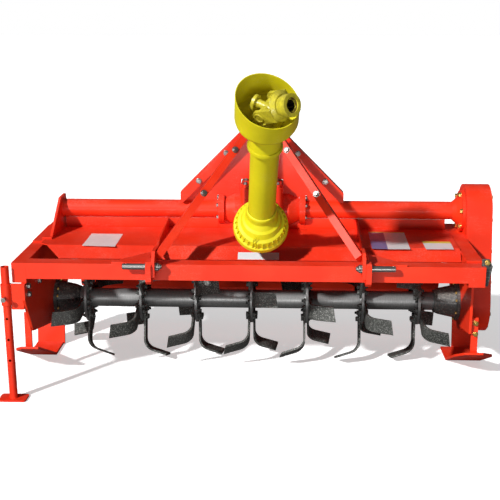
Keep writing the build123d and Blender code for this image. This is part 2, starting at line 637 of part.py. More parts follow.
for name, way in (("left", -1), ("right", 1)):
    lug_mid = way * LUG_SPREAD / 2
    with BuildPart() as lug:
        with BuildSketch(Plane.YZ.offset(lug_mid - LUG_T / 2)):
            with BuildLine():
                Polyline(
                    (F, LUG_LOW_Z),
                    (F, FRAME_TOP_Z),
                    (F + BEAM_SIDE, FRAME_TOP_Z),
                    (F + BEAM_SIDE, FRAME_TOP_Z + 8),
                    (F + 10, LUG_TOP_Z),
                    (F - LUG_FRONT_OUT + 14, LUG_TOP_Z),
                    (F - LUG_FRONT_OUT, LUG_TOP_Z - 14),
                    (F - LUG_FRONT_OUT, LUG_LOW_Z + 12),
                    (F - LUG_FRONT_OUT + 12, LUG_LOW_Z),
                    close=True,
                )
            make_face()
            with Locations((PIN_Y, PIN_Z)):
                Circle(PIN_R, mode=Mode.SUBTRACT)
        extrude(amount=LUG_T)
    save(lug.part, "hitch_lug_" + name)

    shoulder_x = lug_mid + way * LUG_T / 2
    with BuildPart() as pin:
        with BuildSketch(Plane.YZ.offset(shoulder_x + way * PIN_OUT)):
            with Locations((PIN_Y, PIN_Z)):
                Circle(PIN_R)
        extrude(amount=-way * (PIN_OUT + LUG_T + ARM_T + PIN_TAIL))
        chamfer(faces().sort_by(Axis.X)[-1 if way > 0 else 0].edges(), 2)
        with BuildSketch(Plane.YZ.offset(shoulder_x)):
            with Locations((PIN_Y, PIN_Z)):
                Circle(PIN_FLANGE_R)
        extrude(amount=way * PIN_FLANGE_T)
        with BuildSketch(Plane.YZ.offset(lug_mid - way * (LUG_T / 2 + ARM_T))):
            with Locations((PIN_Y, PIN_Z)):
                RegularPolygon(PIN_FLANGE_R, 6)
        extrude(amount=-way * 12)
        with Locations(Plane((shoulder_x + way * (PIN_OUT - LYNCH_IN), PIN_Y, PIN_Z))):
            Cylinder(LYNCH_R, PIN_R * 3, mode=Mode.SUBTRACT)
    save(pin.part, "hitch_pin_" + name)

    strip_x = way * (LUG_SPREAD / 2 - LUG_T / 2 + STRIP_T / 2)
    with BuildPart() as strip:
        with BuildSketch(Plane.YZ.offset(strip_x - STRIP_T / 2)):
            with BuildLine():
                Polyline(
                    (F + BEAM_SIDE, FRAME_TOP_Z + 8),
                    (F + BEAM_SIDE, FRAME_TOP_Z),
                    (F + HOOD_BEND_IN, HOOD_TOP_Z),
                    (STRIP_REAR_Y, HOOD_TOP_Z),
                    (STRIP_REAR_Y, WEB_TOP_Z),
                    (F + HOOD_BEND_IN, HOOD_TOP_Z + 26),
                    close=True,
                )
            make_face()
        extrude(amount=STRIP_T)
    save(strip.part, "hitch_strip_" + name)

    with BuildPart() as gusset:
        with BuildSketch(Plane.XY.offset(FRAME_TOP_Z)):
            with BuildLine():
                Polyline(
                    (shoulder_x, F - 5),
                    (shoulder_x, F + GUSSET_DEPTH),
                    (shoulder_x + way * GUSSET_REACH, F + 4),
                    (shoulder_x + way * GUSSET_REACH, F),
                    (shoulder_x + way * 30, F - 5),
                    close=True,
                )
            make_face()
        extrude(amount=STRIP_T)
    save(gusset.part, "hitch_gusset_" + name)

# ---------------------------------------------------------------- mast
MAST_PLATE_T = 8.0
MAST_FOOT_Z = TUBE_Z + TUBE_R
MAST_SHOULDER = 40.0
STRUT_TOP_Z = 993.0         # outer edge of a strut at the head's cheek
HEAD_DROP = 190.0
WINDOW_GAP = 6.0            # air round the gearbox in the mast plate
MAST_Y = TUBE_Y - MAST_PLATE_T / 2
HEAD_HALF = MAST_CHEEK_HALF + MAST_CHEEK_T
HEAD_LOW_Z = MAST_HEAD_Z - HEAD_DROP
HEAD_Y = F + MAST_HEAD_IN
STRUT_SLOPE = (STRUT_TOP_Z - MAST_FOOT_Z - MAST_SHOULDER) / (MAST_FOOT_HALF - HEAD_HALF)
STRUT_RISE = STRUT_WIDTH * math.hypot(1, STRUT_SLOPE)

with BuildPart() as mast_plate:
    with BuildSketch(Plane.XZ.offset(-MAST_Y)):
        with BuildLine():
            Polyline(
                (-MAST_FOOT_HALF, MAST_FOOT_Z),
                (MAST_FOOT_HALF, MAST_FOOT_Z),
                (MAST_FOOT_HALF, MAST_FOOT_Z + MAST_SHOULDER),
                (HEAD_HALF, STRUT_TOP_Z),
                (HEAD_HALF, MAST_HEAD_Z - 30),
                (-HEAD_HALF, MAST_HEAD_Z - 30),
                (-HEAD_HALF, STRUT_TOP_Z),
                (-MAST_FOOT_HALF, MAST_FOOT_Z + MAST_SHOULDER),
                close=True,
            )
        make_face()
        for half, top_z in (
            (GEARBOX_WIDTH / 2, GEARBOX_LOW_Z + GEARBOX_HEIGHT + GEARBOX_COVER_T),
            (TUBE_IN_X + TUBE_FLANGE_T, TUBE_Z + TUBE_FLANGE_R),
        ):
            with Locations((0, top_z + WINDOW_GAP)):
                Rectangle(
                    2 * (half + WINDOW_GAP),
                    top_z + WINDOW_GAP - TUBE_Z,
                    align=(Align.CENTER, Align.MAX),
                    mode=Mode.SUBTRACT,
                )
    extrude(amount=-MAST_PLATE_T)
save(mast_plate.part, "mast_plate")

for name, way in (("left", -1), ("right", 1)):
    with BuildPart() as strut:
        with BuildSketch(Plane.XZ.offset(-MAST_Y)):
            with BuildLine():
                Polyline(
                    (way * MAST_FOOT_HALF, MAST_FOOT_Z),
                    (way * MAST_FOOT_HALF, MAST_FOOT_Z + MAST_SHOULDER),
                    (way * HEAD_HALF, STRUT_TOP_Z),
                    (way * HEAD_HALF, STRUT_TOP_Z - STRUT_RISE),
                    (way * (HEAD_HALF + (STRUT_TOP_Z - STRUT_RISE - MAST_FOOT_Z) / STRUT_SLOPE), MAST_FOOT_Z),
                    close=True,
                )
            make_face()
        extrude(amount=STRUT_DEPTH)
    save(strut.part, "mast_strut_" + name)

with BuildPart() as mast_head:
    for way in (-1, 1):
        with BuildSketch(Plane.YZ.offset(way * MAST_CHEEK_HALF)):
            with BuildLine():
                Polyline(
                    (MAST_Y, HEAD_LOW_Z),
                    (MAST_Y, MAST_HEAD_Z + 8),
                    (HEAD_Y + 24, MAST_HEAD_Z + 26),
                    (HEAD_Y - 24, MAST_HEAD_Z + 26),
                    (HEAD_Y - 34, MAST_HEAD_Z - 10),
                    (HEAD_Y - 34, HEAD_LOW_Z),
                    close=True,
                )
            make_face()
            with Locations((HEAD_Y, MAST_HEAD_Z)):
                Circle(TOP_LINK_R, mode=Mode.SUBTRACT)
        extrude(amount=way * MAST_CHEEK_T)
save(mast_head.part, "mast_head")

for name, way in (("left", -1), ("right", 1)):
    foot = Vector(way * (LUG_SPREAD / 2 - LUG_T / 2 - ARM_WIDTH / 2 - 2), F + 5, LUG_TOP_Z + 6)
    side_x = way * (LUG_SPREAD / 2 - LUG_T / 2)
    top = Vector(way * (HEAD_HALF + 14), HEAD_Y - 50, HEAD_LOW_Z + 15)
    run = top - foot
    across = Vector(0, 1, 0).cross(run).normalized()
    with BuildPart() as arm:
        with BuildSketch(Plane(origin=foot, x_dir=across, z_dir=run)):
            Rectangle(ARM_WIDTH, ARM_DEPTH)
        extrude(amount=run.length)
        with BuildSketch(Plane.YZ.offset(side_x)):
            with BuildLine():
                Polyline(
                    (F - LUG_FRONT_OUT + 10, PIN_Z - 34),
                    (F - 4, PIN_Z - 34),
                    (F - 4, FRAME_TOP_Z + 6),
                    (F + 46, LUG_TOP_Z + 10),
                    (F + 46, LUG_TOP_Z + 34),
                    (F - 24, LUG_TOP_Z + 34),
                    (F - LUG_FRONT_OUT + 10, LUG_TOP_Z),
                    close=True,
                )
            make_face()
            with Locations((PIN_Y, PIN_Z)):
                Circle(PIN_R, mode=Mode.SUBTRACT)
        extrude(amount=-way * ARM_T)
    save(arm.part, "mast_arm_" + name)

# ---------------------------------------------------------------- parking leg
LEG_Y = F + LEG_IN
SLEEVE_WALL = 4.0
SLEEVE_X_GAP = RUN_GAP * 6
LEG_BRACKET_T = 8.0
LEG_BRACKET_DROP = 17.0     # bracket plate below the sleeve
LEG_BRACKET_REAR_IN = 240.0
LEG_BRACKET_REAR_DROP = 70.0
LEG_PIN_Z = LEG_SLEEVE_LOW_Z + 31
LEG_PIN_R = 5.0
with BuildPart() as leg_bracket:
    with BuildSketch(Plane.XY.offset(LEG_SLEEVE_LOW_Z)):
        with Locations((LEG_X, LEG_Y)):
            Circle(LEG_R + SLEEVE_WALL + SLEEVE_X_GAP)
            Circle(LEG_R + SLEEVE_X_GAP, mode=Mode.SUBTRACT)
    extrude(amount=LEG_SLEEVE_LENGTH)
    with BuildSketch(Plane.XY.offset(LEG_SLEEVE_LOW_Z - LEG_BRACKET_DROP)):
        with Locations((LEG_X + LEG_R + SLEEVE_X_GAP + 2, LEG_Y)):
            Rectangle(
                LEFT_SIDE_IN_X - SIDE_PLATE_T - LEG_X - LEG_R - SLEEVE_X_GAP - 2,
                LEG_BRACKET_T,
                align=(Align.MIN, Align.CENTER),
            )
    extrude(amount=FRAME_LOW_Z - LEG_SLEEVE_LOW_Z + LEG_BRACKET_DROP)
    with BuildSketch(Plane.YZ.offset(LEFT_SIDE_IN_X - SIDE_PLATE_T)):
        with BuildLine():
            Polyline(
                (LEG_Y - LEG_BRACKET_T / 2, LEG_SLEEVE_LOW_Z - LEG_BRACKET_DROP),
                (LEG_Y - LEG_BRACKET_T / 2, FRAME_LOW_Z),
                (F + LEG_BRACKET_REAR_IN, FRAME_LOW_Z),
                (F + LEG_BRACKET_REAR_IN, FRAME_LOW_Z - LEG_BRACKET_REAR_DROP),
                (LEG_Y + LEG_BRACKET_REAR_DROP, LEG_SLEEVE_LOW_Z - LEG_BRACKET_DROP),
                close=True,
            )
        make_face()
    extrude(amount=-LEG_BRACKET_T)
    with Locations(Plane((LEG_X, LEG_Y, LEG_PIN_Z), x_dir=(1, 0, 0), z_dir=(0, -1, 0))):
        Cylinder(LEG_PIN_R, LEG_R * 3, align=(Align.CENTER, Align.CENTER, Align.MIN), mode=Mode.SUBTRACT)
save(leg_bracket.part, "leg_bracket")

with BuildPart() as leg_pin:
    with BuildSketch(Plane.XZ.offset(-LEG_Y + LEG_R + SLEEVE_X_GAP)):
        with Locations((LEG_X, LEG_PIN_Z)):
            Circle(LEG_PIN_R)
    extrude(amount=24)
    with BuildSketch(Plane.XZ.offset(-LEG_Y + LEG_R + SLEEVE_X_GAP + 24)):
        with Locations((LEG_X, LEG_PIN_Z)):
            Circle(9)
    extrude(amount=5)
save(leg_pin.part, "leg_pin")

with BuildPart() as parking_leg:
    with BuildSketch(Plane.XY.offset(FOOT_T)):
        with Locations((LEG_X, LEG_Y)):
            Circle(LEG_R)
            Circle(LEG_R - LEG_WALL, mode=Mode.SUBTRACT)
    extrude(amount=LEG_TOP_Z - FOOT_T)
    with BuildSketch(Plane.XY):
        with Locations((LEG_X, LEG_Y)):
            RectangleRounded(FOOT_WIDTH, FOOT_DEPTH, 10)
    extrude(amount=FOOT_T)
    for k in range(4):
        hole_z = LEG_PIN_Z - k * LEG_HOLE_PITCH
        with Locations(Plane((LEG_X, LEG_Y, hole_z), x_dir=(1, 0, 0), z_dir=(0, -1, 0))):
            Cylinder(LEG_PIN_R, LEG_R * 3, mode=Mode.SUBTRACT)
save(parking_leg.part, "parking_leg")

# ---------------------------------------------------------------- skids
# side, plate face it hangs on, way out, sole's inner and outer edge and the strap's inner edge
# out from that face, chamfers (x, y) of the sole's outer and inner front corners
SKIDS = (
    ("left", LEFT_SIDE_IN_X - SIDE_PLATE_T, -1, 6.0, 118.0, 40.0, (50, 85), (1, 1)),
    ("right", CASE_IN_X, 1, -46.0, 97.0, 3.0, (55, 75), (23, 95)),
)
for name, hang_x, way, inner_out, outer_out, strap_out, outer_cut, inner_cut in SKIDS:
    inner_x, outer_x, strap_x = (hang_x + way * out for out in (inner_out, outer_out, strap_out))
    with BuildPart() as skid:
        with BuildSketch(Plane.YZ.offset(inner_x)):
            with BuildLine():
                Polyline(
                    (F + SKID_NOSE_IN, SKID_NOSE_Z),
                    (F + SKID_FLAT_FRONT_IN, SKID_T / 2),
                    (F + SKID_FLAT_REAR_IN, SKID_T / 2),
                )
                offset(amount=SKID_T / 2)
            make_face()
        extrude(amount=outer_x - inner_x)
        with BuildSketch(Plane.XY):
            for corner_x, inward, cut in ((inner_x, way, inner_cut), (outer_x, -way, outer_cut)):
                with BuildLine():
                    Polyline(
                        (corner_x, F + SKID_NOSE_IN - SKID_T),
                        (corner_x + inward * cut[0], F + SKID_NOSE_IN - SKID_T),
                        (corner_x, F + SKID_NOSE_IN - SKID_T + cut[1]),
                        close=True,
                    )
                make_face()
        extrude(amount=ROTOR_Z, mode=Mode.SUBTRACT)
        with BuildSketch(Plane.YZ.offset(hang_x)):
            with BuildLine():
                Polyline((F + SKID_FLAT_REAR_IN, SKID_T / 2), (F + SKID_REAR_TOP_IN, SKID_REAR_TOP_Z))
                offset(amount=SKID_T / 2)
            make_face()
        extrude(amount=outer_x - hang_x)
        with BuildSketch(Plane.YZ.offset(strap_x)):
            with BuildLine():
                Polyline(
                    (F + SKID_STRAP_IN, SKID_NOSE_Z - SKID_STRAP_SINK),
                    (F + SKID_STRAP_IN + SKID_STRAP_LEAN, SKID_STRAP_TOP_Z),
                )
                offset(amount=SKID_T / 2)
            make_face()
        extrude(amount=way * SKID_STRAP_WIDTH)
        with BuildSketch(Plane.XZ.offset(-(F + SKID_STRAP_IN + SKID_STRAP_LEAN))):
            with Locations((hang_x, SKID_STRAP_TOP_Z)):
                Rectangle(
                    abs(strap_x - hang_x) + SKID_STRAP_WIDTH,
                    SKID_STRAP_WIDTH,
                    align=(Align.MIN if way > 0 else Align.MAX, Align.MAX),
                )
        extrude(amount=SKID_T / 2, both=True)
    save(skid.part, "skid_" + name)

# ---------------------------------------------------------------- trailing board
BOARD_END_GAP = 8.0
BOARD_LEFT_X = LEFT_SIDE_IN_X + BOARD_END_GAP
BOARD_RIGHT_X = CASE_IN_X - SIDE_PLATE_T - BOARD_END_GAP
with BuildPart() as trailing_board:
    slant = math.radians(BOARD_SLANT)
    down = Vector(math.sin(slant), -math.cos(slant))
    start = Vector(HINGE_Y, BOARD_HINGE_Z) + down * (BOARD_KNUCKLE_R - 2)
    end = Vector(HINGE_Y, BOARD_HINGE_Z) + down * BOARD_LENGTH
    with BuildSketch(Plane.YZ.offset(BOARD_LEFT_X)):
        with BuildLine():
            Polyline((start.X, start.Y), (end.X, end.Y), (end.X + BOARD_LIP, end.Y - BOARD_LIP * 0.3))
            offset(amount=BOARD_T / 2)
        make_face()
    extrude(amount=BOARD_RIGHT_X - BOARD_LEFT_X)
    with BuildSketch(Plane.YZ.offset(BOARD_LEFT_X)):
        with Locations((HINGE_Y, BOARD_HINGE_Z)):
            Circle(BOARD_KNUCKLE_R)
    extrude(amount=BOARD_RIGHT_X - BOARD_LEFT_X)
    with BuildSketch(Plane.YZ.offset(BOARD_LEFT_X)):
        with Locations((HINGE_Y, BOARD_HINGE_Z)):
            Circle(BOARD_ROD_R + RUN_GAP)
    extrude(amount=BOARD_RIGHT_X - BOARD_LEFT_X, mode=Mode.SUBTRACT)
save(trailing_board.part, "trailing_board")

with BuildPart() as board_rod:
    with BuildSketch(Plane.YZ.offset(LEFT_SIDE_IN_X - SIDE_PLATE_T - 12)):
        with Locations((HINGE_Y, BOARD_HINGE_Z)):
            Circle(BOARD_ROD_R)
    extrude(amount=CASE_IN_X - LEFT_SIDE_IN_X + SIDE_PLATE_T + 24)
save(board_rod.part, "board_rod")

# ---------------------------------------------------------------- PTO drive
tilt = math.radians(SHAFT_TILT)
lean = math.radians(SHAFT_LEAN)
LOWER_JOINT = Vector(INPUT_X, JOINT_Y, INPUT_Z)
SHAFT_DIR = Vector(math.sin(lean), -math.cos(lean) * math.cos(tilt), math.cos(lean) * math.sin(tilt))
SHAFT_X = (Vector(1, 0, 0) - SHAFT_DIR * SHAFT_DIR.X).normalized()
SHAFT_UP = SHAFT_DIR.cross(SHAFT_X)
UPPER_JOINT = LOWER_JOINT + SHAFT_DIR * SHAFT_LENGTH
GUARD_END = SHAFT_LENGTH - GUARD_SETBACK
droop = math.radians(CROSS_DROOP)
bend = math.radians(HUB_BEND)
turn = math.radians(UPPER_TURN)
EAR_X = SHAFT_X * math.cos(turn) + SHAFT_UP * math.sin(turn)
CROSS_DIR = SHAFT_DIR * math.cos(droop) - SHAFT_DIR.cross(EAR_X) * math.sin(droop)
CROSS_UP = CROSS_DIR.cross(EAR_X)
HUB_DIR = CROSS_DIR * math.cos(bend) + EAR_X * math.sin(bend)

YOKE_NECK = 76.0            # from a joint centre to the shoulder of its yoke
NECK_R = 26.0
COLLAR_R = 56.0
COLLAR_LENGTH = 16.0
HUB_LENGTH = 40.0
HUB_COLLAR_LENGTH = 26.0    # release collar round the end of the hub
HUB_MOUTH_R = 24.0
HUB_MOUTH_DEPTH = 6.0
SHOULDER_T = 12.0           # coned shoulder of a yoke
EAR_LENGTH = YOKE_NECK - SHOULDER_T + 2
TRUNNION_IN = CAP_HALF - EAR_T
CUP_START = GUARD_END + COLLAR_LENGTH + 1     # cone of the upper bell, above its collar


def along(distance):
    """Plane across the PTO shaft, a distance from the lower joint centre."""
    return Plane(origin=LOWER_JOINT + SHAFT_DIR * distance, x_dir=SHAFT_X, z_dir=SHAFT_DIR)


def yoke(centre, direction, ear_axis, neck_r, neck_length, bore_r):
    """Two ears either side of a joint centre on a round neck that runs back from it."""
    side = ear_axis.cross(direction)
    shoulder = Plane(origin=centre - direction * YOKE_NECK, x_dir=ear_axis, z_dir=direction)
    with BuildPart() as body:
        with BuildSketch(shoulder):
            Circle(neck_r)
        extrude(amount=-neck_length)
        with BuildSketch(shoulder):
            Circle(CAP_HALF - SHOULDER_T)
        extrude(amount=SHOULDER_T, taper=-45)
        for way in (-1, 1):
            ear = Plane(origin=centre + ear_axis * way * TRUNNION_IN, x_dir=side, z_dir=ear_axis * way)
            with BuildSketch(ear):
                Circle(EAR_R)
                with Locations((0, 0)):
                    with BuildLine():
                        Polyline(
                            ear.to_local_coords(centre + side * EAR_R + ear_axis * way * TRUNNION_IN),
                            ear.to_local_coords(
                                centre + side * EAR_R + ear_axis * way * TRUNNION_IN - direction * EAR_LENGTH
                            ),
                            ear.to_local_coords(
                                centre - side * EAR_R + ear_axis * way * TRUNNION_IN - direction * EAR_LENGTH
                            ),
                            ear.to_local_coords(centre - side * EAR_R + ear_axis * way * TRUNNION_IN),
                            close=True,
                        )
                    make_face()
                Circle(TRUNNION_R + RUN_GAP, mode=Mode.SUBTRACT)
            extrude(amount=EAR_T)
        if bore_r > 0:
            with BuildSketch(Plane(origin=centre - direction * (YOKE_NECK - 13), x_dir=ear_axis, z_dir=direction)):
                Circle(bore_r)
            extrude(amount=-neck_length - 14, mode=Mode.SUBTRACT)
    return body.part


def cross(centre, axis_a, axis_b):
    """Four trunnions of one universal joint."""
    with BuildPart() as body:
        for axis, other in ((axis_a, axis_b), (axis_b, axis_a)):
            with BuildSketch(Plane(origin=centre - axis * CAP_HALF, x_dir=other, z_dir=axis)):
                Circle(TRUNNION_R)
            extrude(amount=2 * CAP_HALF)
        with BuildSketch(Plane(origin=centre - axis_a * 16, x_dir=axis_b, z_dir=axis_a)):
            Circle(15)
        extrude(amount=32)
    return body.part


YOKE_GAP = 4.0              # bare shaft between the gearbox nose and its yoke
INPUT_NOSE_Y = JOINT_Y + YOKE_NECK
with BuildPart() as input_shaft:
    with BuildSketch(Plane.XZ.offset(-GEARBOX_FRONT_Y + INPUT_OUT)):
        with Locations((INPUT_X, INPUT_Z)):
            Circle(INPUT_R)
    extrude(amount=GEARBOX_FRONT_Y - INPUT_OUT - INPUT_NOSE_Y)
save(input_shaft.part, "input_shaft")

yoke_lower_in = yoke(
    LOWER_JOINT,
    Vector(0, -1, 0),
    Vector(1, 0, 0),
    YOKE_R,
    GEARBOX_FRONT_Y - INPUT_OUT - YOKE_GAP - INPUT_NOSE_Y,
    INPUT_R,
)
save(yoke_lower_in, "pto_yoke_gearbox")
save(cross(LOWER_JOINT, Vector(1, 0, 0), SHAFT_UP), "pto_cross_lower")
save(yoke(LOWER_JOINT, -SHAFT_DIR, SHAFT_UP, NECK_R, GUARD_START, 0), "pto_yoke_lower")
save(
    yoke(UPPER_JOINT, SHAFT_DIR, EAR_X, NECK_R, SHAFT_LENGTH - YOKE_NECK - CUP_START, 0),
    "pto_yoke_upper",
)
save(cross(UPPER_JOINT, EAR_X, CROSS_UP), "pto_cross_upper")

hub_end = UPPER_JOINT + HUB_DIR * (YOKE_NECK + HUB_LENGTH)
with BuildPart() as pto_hub:
    add(yoke(UPPER_JOINT, -HUB_DIR, CROSS_UP, HUB_R - 5, HUB_LENGTH, HUB_BORE_R))
    with BuildSketch(Plane(origin=hub_end, x_dir=CROSS_UP, z_dir=-HUB_DIR)):
        Circle(HUB_R)
        Circle(HUB_BORE_R, mode=Mode.SUBTRACT)
    extrude(amount=HUB_COLLAR_LENGTH)
    with BuildSketch(Plane(origin=hub_end, x_dir=CROSS_UP, z_dir=-HUB_DIR)):
        Circle(HUB_MOUTH_R)
    extrude(amount=HUB_MOUTH_DEPTH, mode=Mode.SUBTRACT)
save(pto_hub.part, "pto_hub")


def bell_plane(distance, share):
    """Plane across the lower bell, turned from the shaft towards the rim's axis by a share."""
    angle = math.radians((SHAFT_TILT - BELL_TILT) * share)
    axis = SHAFT_DIR * math.cos(angle) - SHAFT_UP * math.sin(angle)
    return Plane(origin=LOWER_JOINT + axis * distance, x_dir=SHAFT_X, z_dir=axis)


# rings of the lower bell: distance from the joint, outer radius, share of the rim's turn
BELL_RINGS = (
    (0, BELL_R, 1.0),
    (20, BELL_R - 3, 1.0),
    (24, BELL_R - 11, 0.95),
    (43, BELL_R - 17, 0.8),
    (47, BELL_R - 27, 0.7),
    (60, BELL_R - 33, 0.4),
    (64, BELL_R - 41, 0.3),
    (GUARD_START - COLLAR_LENGTH, COLLAR_R, 0.0),
)
with BuildPart() as guard_bell_lower:
    for wall, mode in ((0, Mode.ADD), (BELL_WALL, Mode.SUBTRACT)):
        for distance, radius, share in BELL_RINGS:
            with BuildSketch(bell_plane(distance, share)):
                Circle(radius - wall)
        loft(ruled=True, mode=mode)
    with BuildSketch(along(GUARD_START - COLLAR_LENGTH)):
        Circle(COLLAR_R)
        Circle(NECK_R + 8, mode=Mode.SUBTRACT)
    extrude(amount=COLLAR_LENGTH)
save(guard_bell_lower.part, "pto_bell_lower")

with BuildPart() as guard_tube_lower:
    for length, outer_r, inner_r in (
        (GUARD_END - GUARD_START, GUARD_R, GUARD_R - GUARD_WALL),
        (10, GUARD_R - 1, NECK_R),
    ):
        with BuildSketch(along(GUARD_START)):
            Circle(outer_r)
            Circle(inner_r, mode=Mode.SUBTRACT)
        extrude(amount=length)
save(guard_tube_lower.part, "pto_guard_tube")

CUP_OUT = 33.0              # rim of the upper bell beyond the joint centre
CUP_DEPTH = 96.0
CUP_WEB_T = 8.0
GUARD_INNER_IN = 60.0       # inner guard tube starts this far inside the outer one
cup_droop = math.radians(CUP_DROOP)
CUP_DIR = SHAFT_DIR * math.cos(cup_droop) - SHAFT_UP * math.sin(cup_droop)


def cup_plane(distance, share):
    """Plane across the upper bell's cup, turned to the right by a share of the rim's turn."""
    aside = math.radians(CUP_TURN * share)
    normal = CUP_DIR * math.cos(aside) + SHAFT_X * math.sin(aside)
    return Plane(origin=UPPER_JOINT + CUP_DIR * distance, x_dir=SHAFT_UP, z_dir=normal)


# rings of the cup from its floor to its rim: distance beyond the joint, outer radius, share of turn
CUP_RINGS = (
    (CUP_OUT - CUP_DEPTH - 12, COLLAR_R, 0.0),
    (CUP_OUT - CUP_DEPTH - 8, CUP_R - 20, 0.0),
    (CUP_OUT - CUP_DEPTH, CUP_R - 5, 0.0),
    (CUP_OUT - CUP_DEPTH + 10, CUP_R - 2, 0.1),
    (CUP_OUT, CUP_R, 1.0),
)
with BuildPart() as guard_bell_upper:
    for wall, mode in ((0, Mode.ADD), (BELL_WALL, Mode.SUBTRACT)):
        with BuildSketch(Plane(origin=LOWER_JOINT + SHAFT_DIR * CUP_START, x_dir=SHAFT_UP, z_dir=SHAFT_DIR)):
            Circle(COLLAR_R - 2 - wall)
        for distance, radius, share in CUP_RINGS:
            with BuildSketch(cup_plane(distance + (wall if radius < CUP_R - 3 else 0), share)):
                Circle(radius - wall)
        loft(ruled=True, mode=mode)
    for start, length, outer_r, inner_r in (
        (CUP_START - COLLAR_LENGTH, COLLAR_LENGTH, COLLAR_R, GUARD_INNER_R),
        (CUP_START, CUP_WEB_T, COLLAR_R - BELL_WALL, NECK_R),
    ):
        with BuildSketch(along(start)):
            Circle(outer_r)
            Circle(inner_r, mode=Mode.SUBTRACT)
        extrude(amount=length)
save(guard_bell_upper.part, "pto_bell_upper")

with BuildPart() as guard_tube_upper:
    with BuildSketch(along(GUARD_START + GUARD_INNER_IN)):
        Circle(GUARD_INNER_R)
        Circle(GUARD_INNER_R - GUARD_WALL, mode=Mode.SUBTRACT)
    extrude(amount=CUP_START - GUARD_START - GUARD_INNER_IN)
save(guard_tube_upper.part, "pto_guard_tube_inner")
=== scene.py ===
"""Three-point PTO rotary tiller: finishes, fasteners, blank labels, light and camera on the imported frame."""
import json
import math

import bpy
import numpy as np
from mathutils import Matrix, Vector


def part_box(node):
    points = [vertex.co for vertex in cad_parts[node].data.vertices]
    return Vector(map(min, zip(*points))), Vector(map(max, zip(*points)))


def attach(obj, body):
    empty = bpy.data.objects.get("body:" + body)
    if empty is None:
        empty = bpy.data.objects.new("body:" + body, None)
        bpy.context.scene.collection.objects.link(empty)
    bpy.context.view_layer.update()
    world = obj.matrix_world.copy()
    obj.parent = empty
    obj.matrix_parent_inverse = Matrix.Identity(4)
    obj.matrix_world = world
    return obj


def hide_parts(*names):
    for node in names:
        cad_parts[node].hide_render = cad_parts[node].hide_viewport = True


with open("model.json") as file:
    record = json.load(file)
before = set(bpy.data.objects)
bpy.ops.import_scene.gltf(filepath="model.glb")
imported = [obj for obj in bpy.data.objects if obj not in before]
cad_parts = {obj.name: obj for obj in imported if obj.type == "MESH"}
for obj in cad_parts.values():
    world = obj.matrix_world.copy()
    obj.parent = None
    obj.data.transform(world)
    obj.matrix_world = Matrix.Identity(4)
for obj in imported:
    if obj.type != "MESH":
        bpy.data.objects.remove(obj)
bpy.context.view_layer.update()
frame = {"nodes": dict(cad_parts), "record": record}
NODES = frame["nodes"]
X, Y, Z = np.eye(3)                            # unit axes of the frame


def low(node):
    return np.array(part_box(node)[0])


def high(node):
    return np.array(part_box(node)[1])


def mid(node):
    return (low(node) + high(node)) / 2


# ---------------------------------------------------------------- places taken from the frame
HX = mid("mast_head")[0]                       # hitch centreline
F = low("front_beam")[1]                       # front face of the front beam
BEAM_TOP = high("front_beam")[2]
HOOD_Z = high("hood")[2]                       # flat top of the hood
TUBE = mid("main_tube_left")[1:]               # main tube axis, y and z
ROTOR = mid("rotor_shaft")[1:]                 # rotor axis, y and z
CASE_X = low("chain_case")[0]                  # inner wall of the chain case
COVER_X = high("chain_case_cover")[0]
TILT, LEAN = math.radians(50.0), math.radians(2.6)
SHAFT = np.array([math.sin(LEAN), -math.cos(LEAN) * math.cos(TILT), math.cos(LEAN) * math.sin(TILT)])
SIDE = X - SHAFT * SHAFT[0]
SIDE /= np.linalg.norm(SIDE)
UP = np.cross(SHAFT, SIDE)
JOINT_SPAN = 0.635
LOWER = mid("pto_cross_lower")                 # lower and upper joint centres
UPPER = LOWER + SHAFT * JOINT_SPAN
TURN, DROOP, BEND = math.radians(-30.0), math.radians(7.0), math.radians(52.5)
EAR_X = SIDE * math.cos(TURN) + UP * math.sin(TURN)     # axis of the upper yoke's ears
CROSS_DIR = SHAFT * math.cos(DROOP) - np.cross(SHAFT, EAR_X) * math.sin(DROOP)
CROSS_UP = np.cross(CROSS_DIR, EAR_X)
HUB_DIR = CROSS_DIR * math.cos(BEND) + EAR_X * math.sin(BEND)


# ---------------------------------------------------------------- surfaces
def mesh_object(name, verts, faces, body, smooth=35):
    """One object at the origin from points and faces, shaded smooth below an angle in degrees."""
    me = bpy.data.meshes.new(name)
    me.from_pydata([tuple(v) for v in verts], [], [tuple(f) for f in faces])
    me.validate()
    me.shade_smooth()
    me.set_sharp_from_angle(angle=math.radians(smooth))
    obj = bpy.data.objects.new(name, me)
    bpy.context.scene.collection.objects.link(obj)
    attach(obj, body)
    return obj


def tube_faces(rings, around, copies=1, wrap=False):
    """Quads of a grid of rings: (i, j), (i, j+1), (i+1, j+1), (i+1, j); each open end is closed by one face."""
    i, j = np.meshgrid(np.arange(rings - (0 if wrap else 1)), np.arange(around), indexing="ij")
    k, n = (i + 1) % rings, (j + 1) % around
    quads = np.stack([i * around + j, i * around + n, k * around + n, k * around + j], -1).reshape(-1, 4)
    faces = []
    for c in range(copies):
        start = c * rings * around
        faces += (quads + start).tolist()
        if not wrap:
            faces.append([start + q for q in reversed(range(around))])
            faces.append([start + (rings - 1) * around + q for q in range(around)])
    return faces


def frames(axis, side=None):
    """Right-handed unit axes (u, v, w) with w along the axis and u as near to side as it can be."""
    w = np.asarray(axis, float)
    w = w / np.linalg.norm(w)
    ref = np.asarray(side if side is not None else ((0, 0, 1) if abs(w[2]) < 0.9 else (1, 0, 0)), float)
    u = ref - w * (ref @ w)
    u /= np.linalg.norm(u)
    return u, np.cross(w, u), w


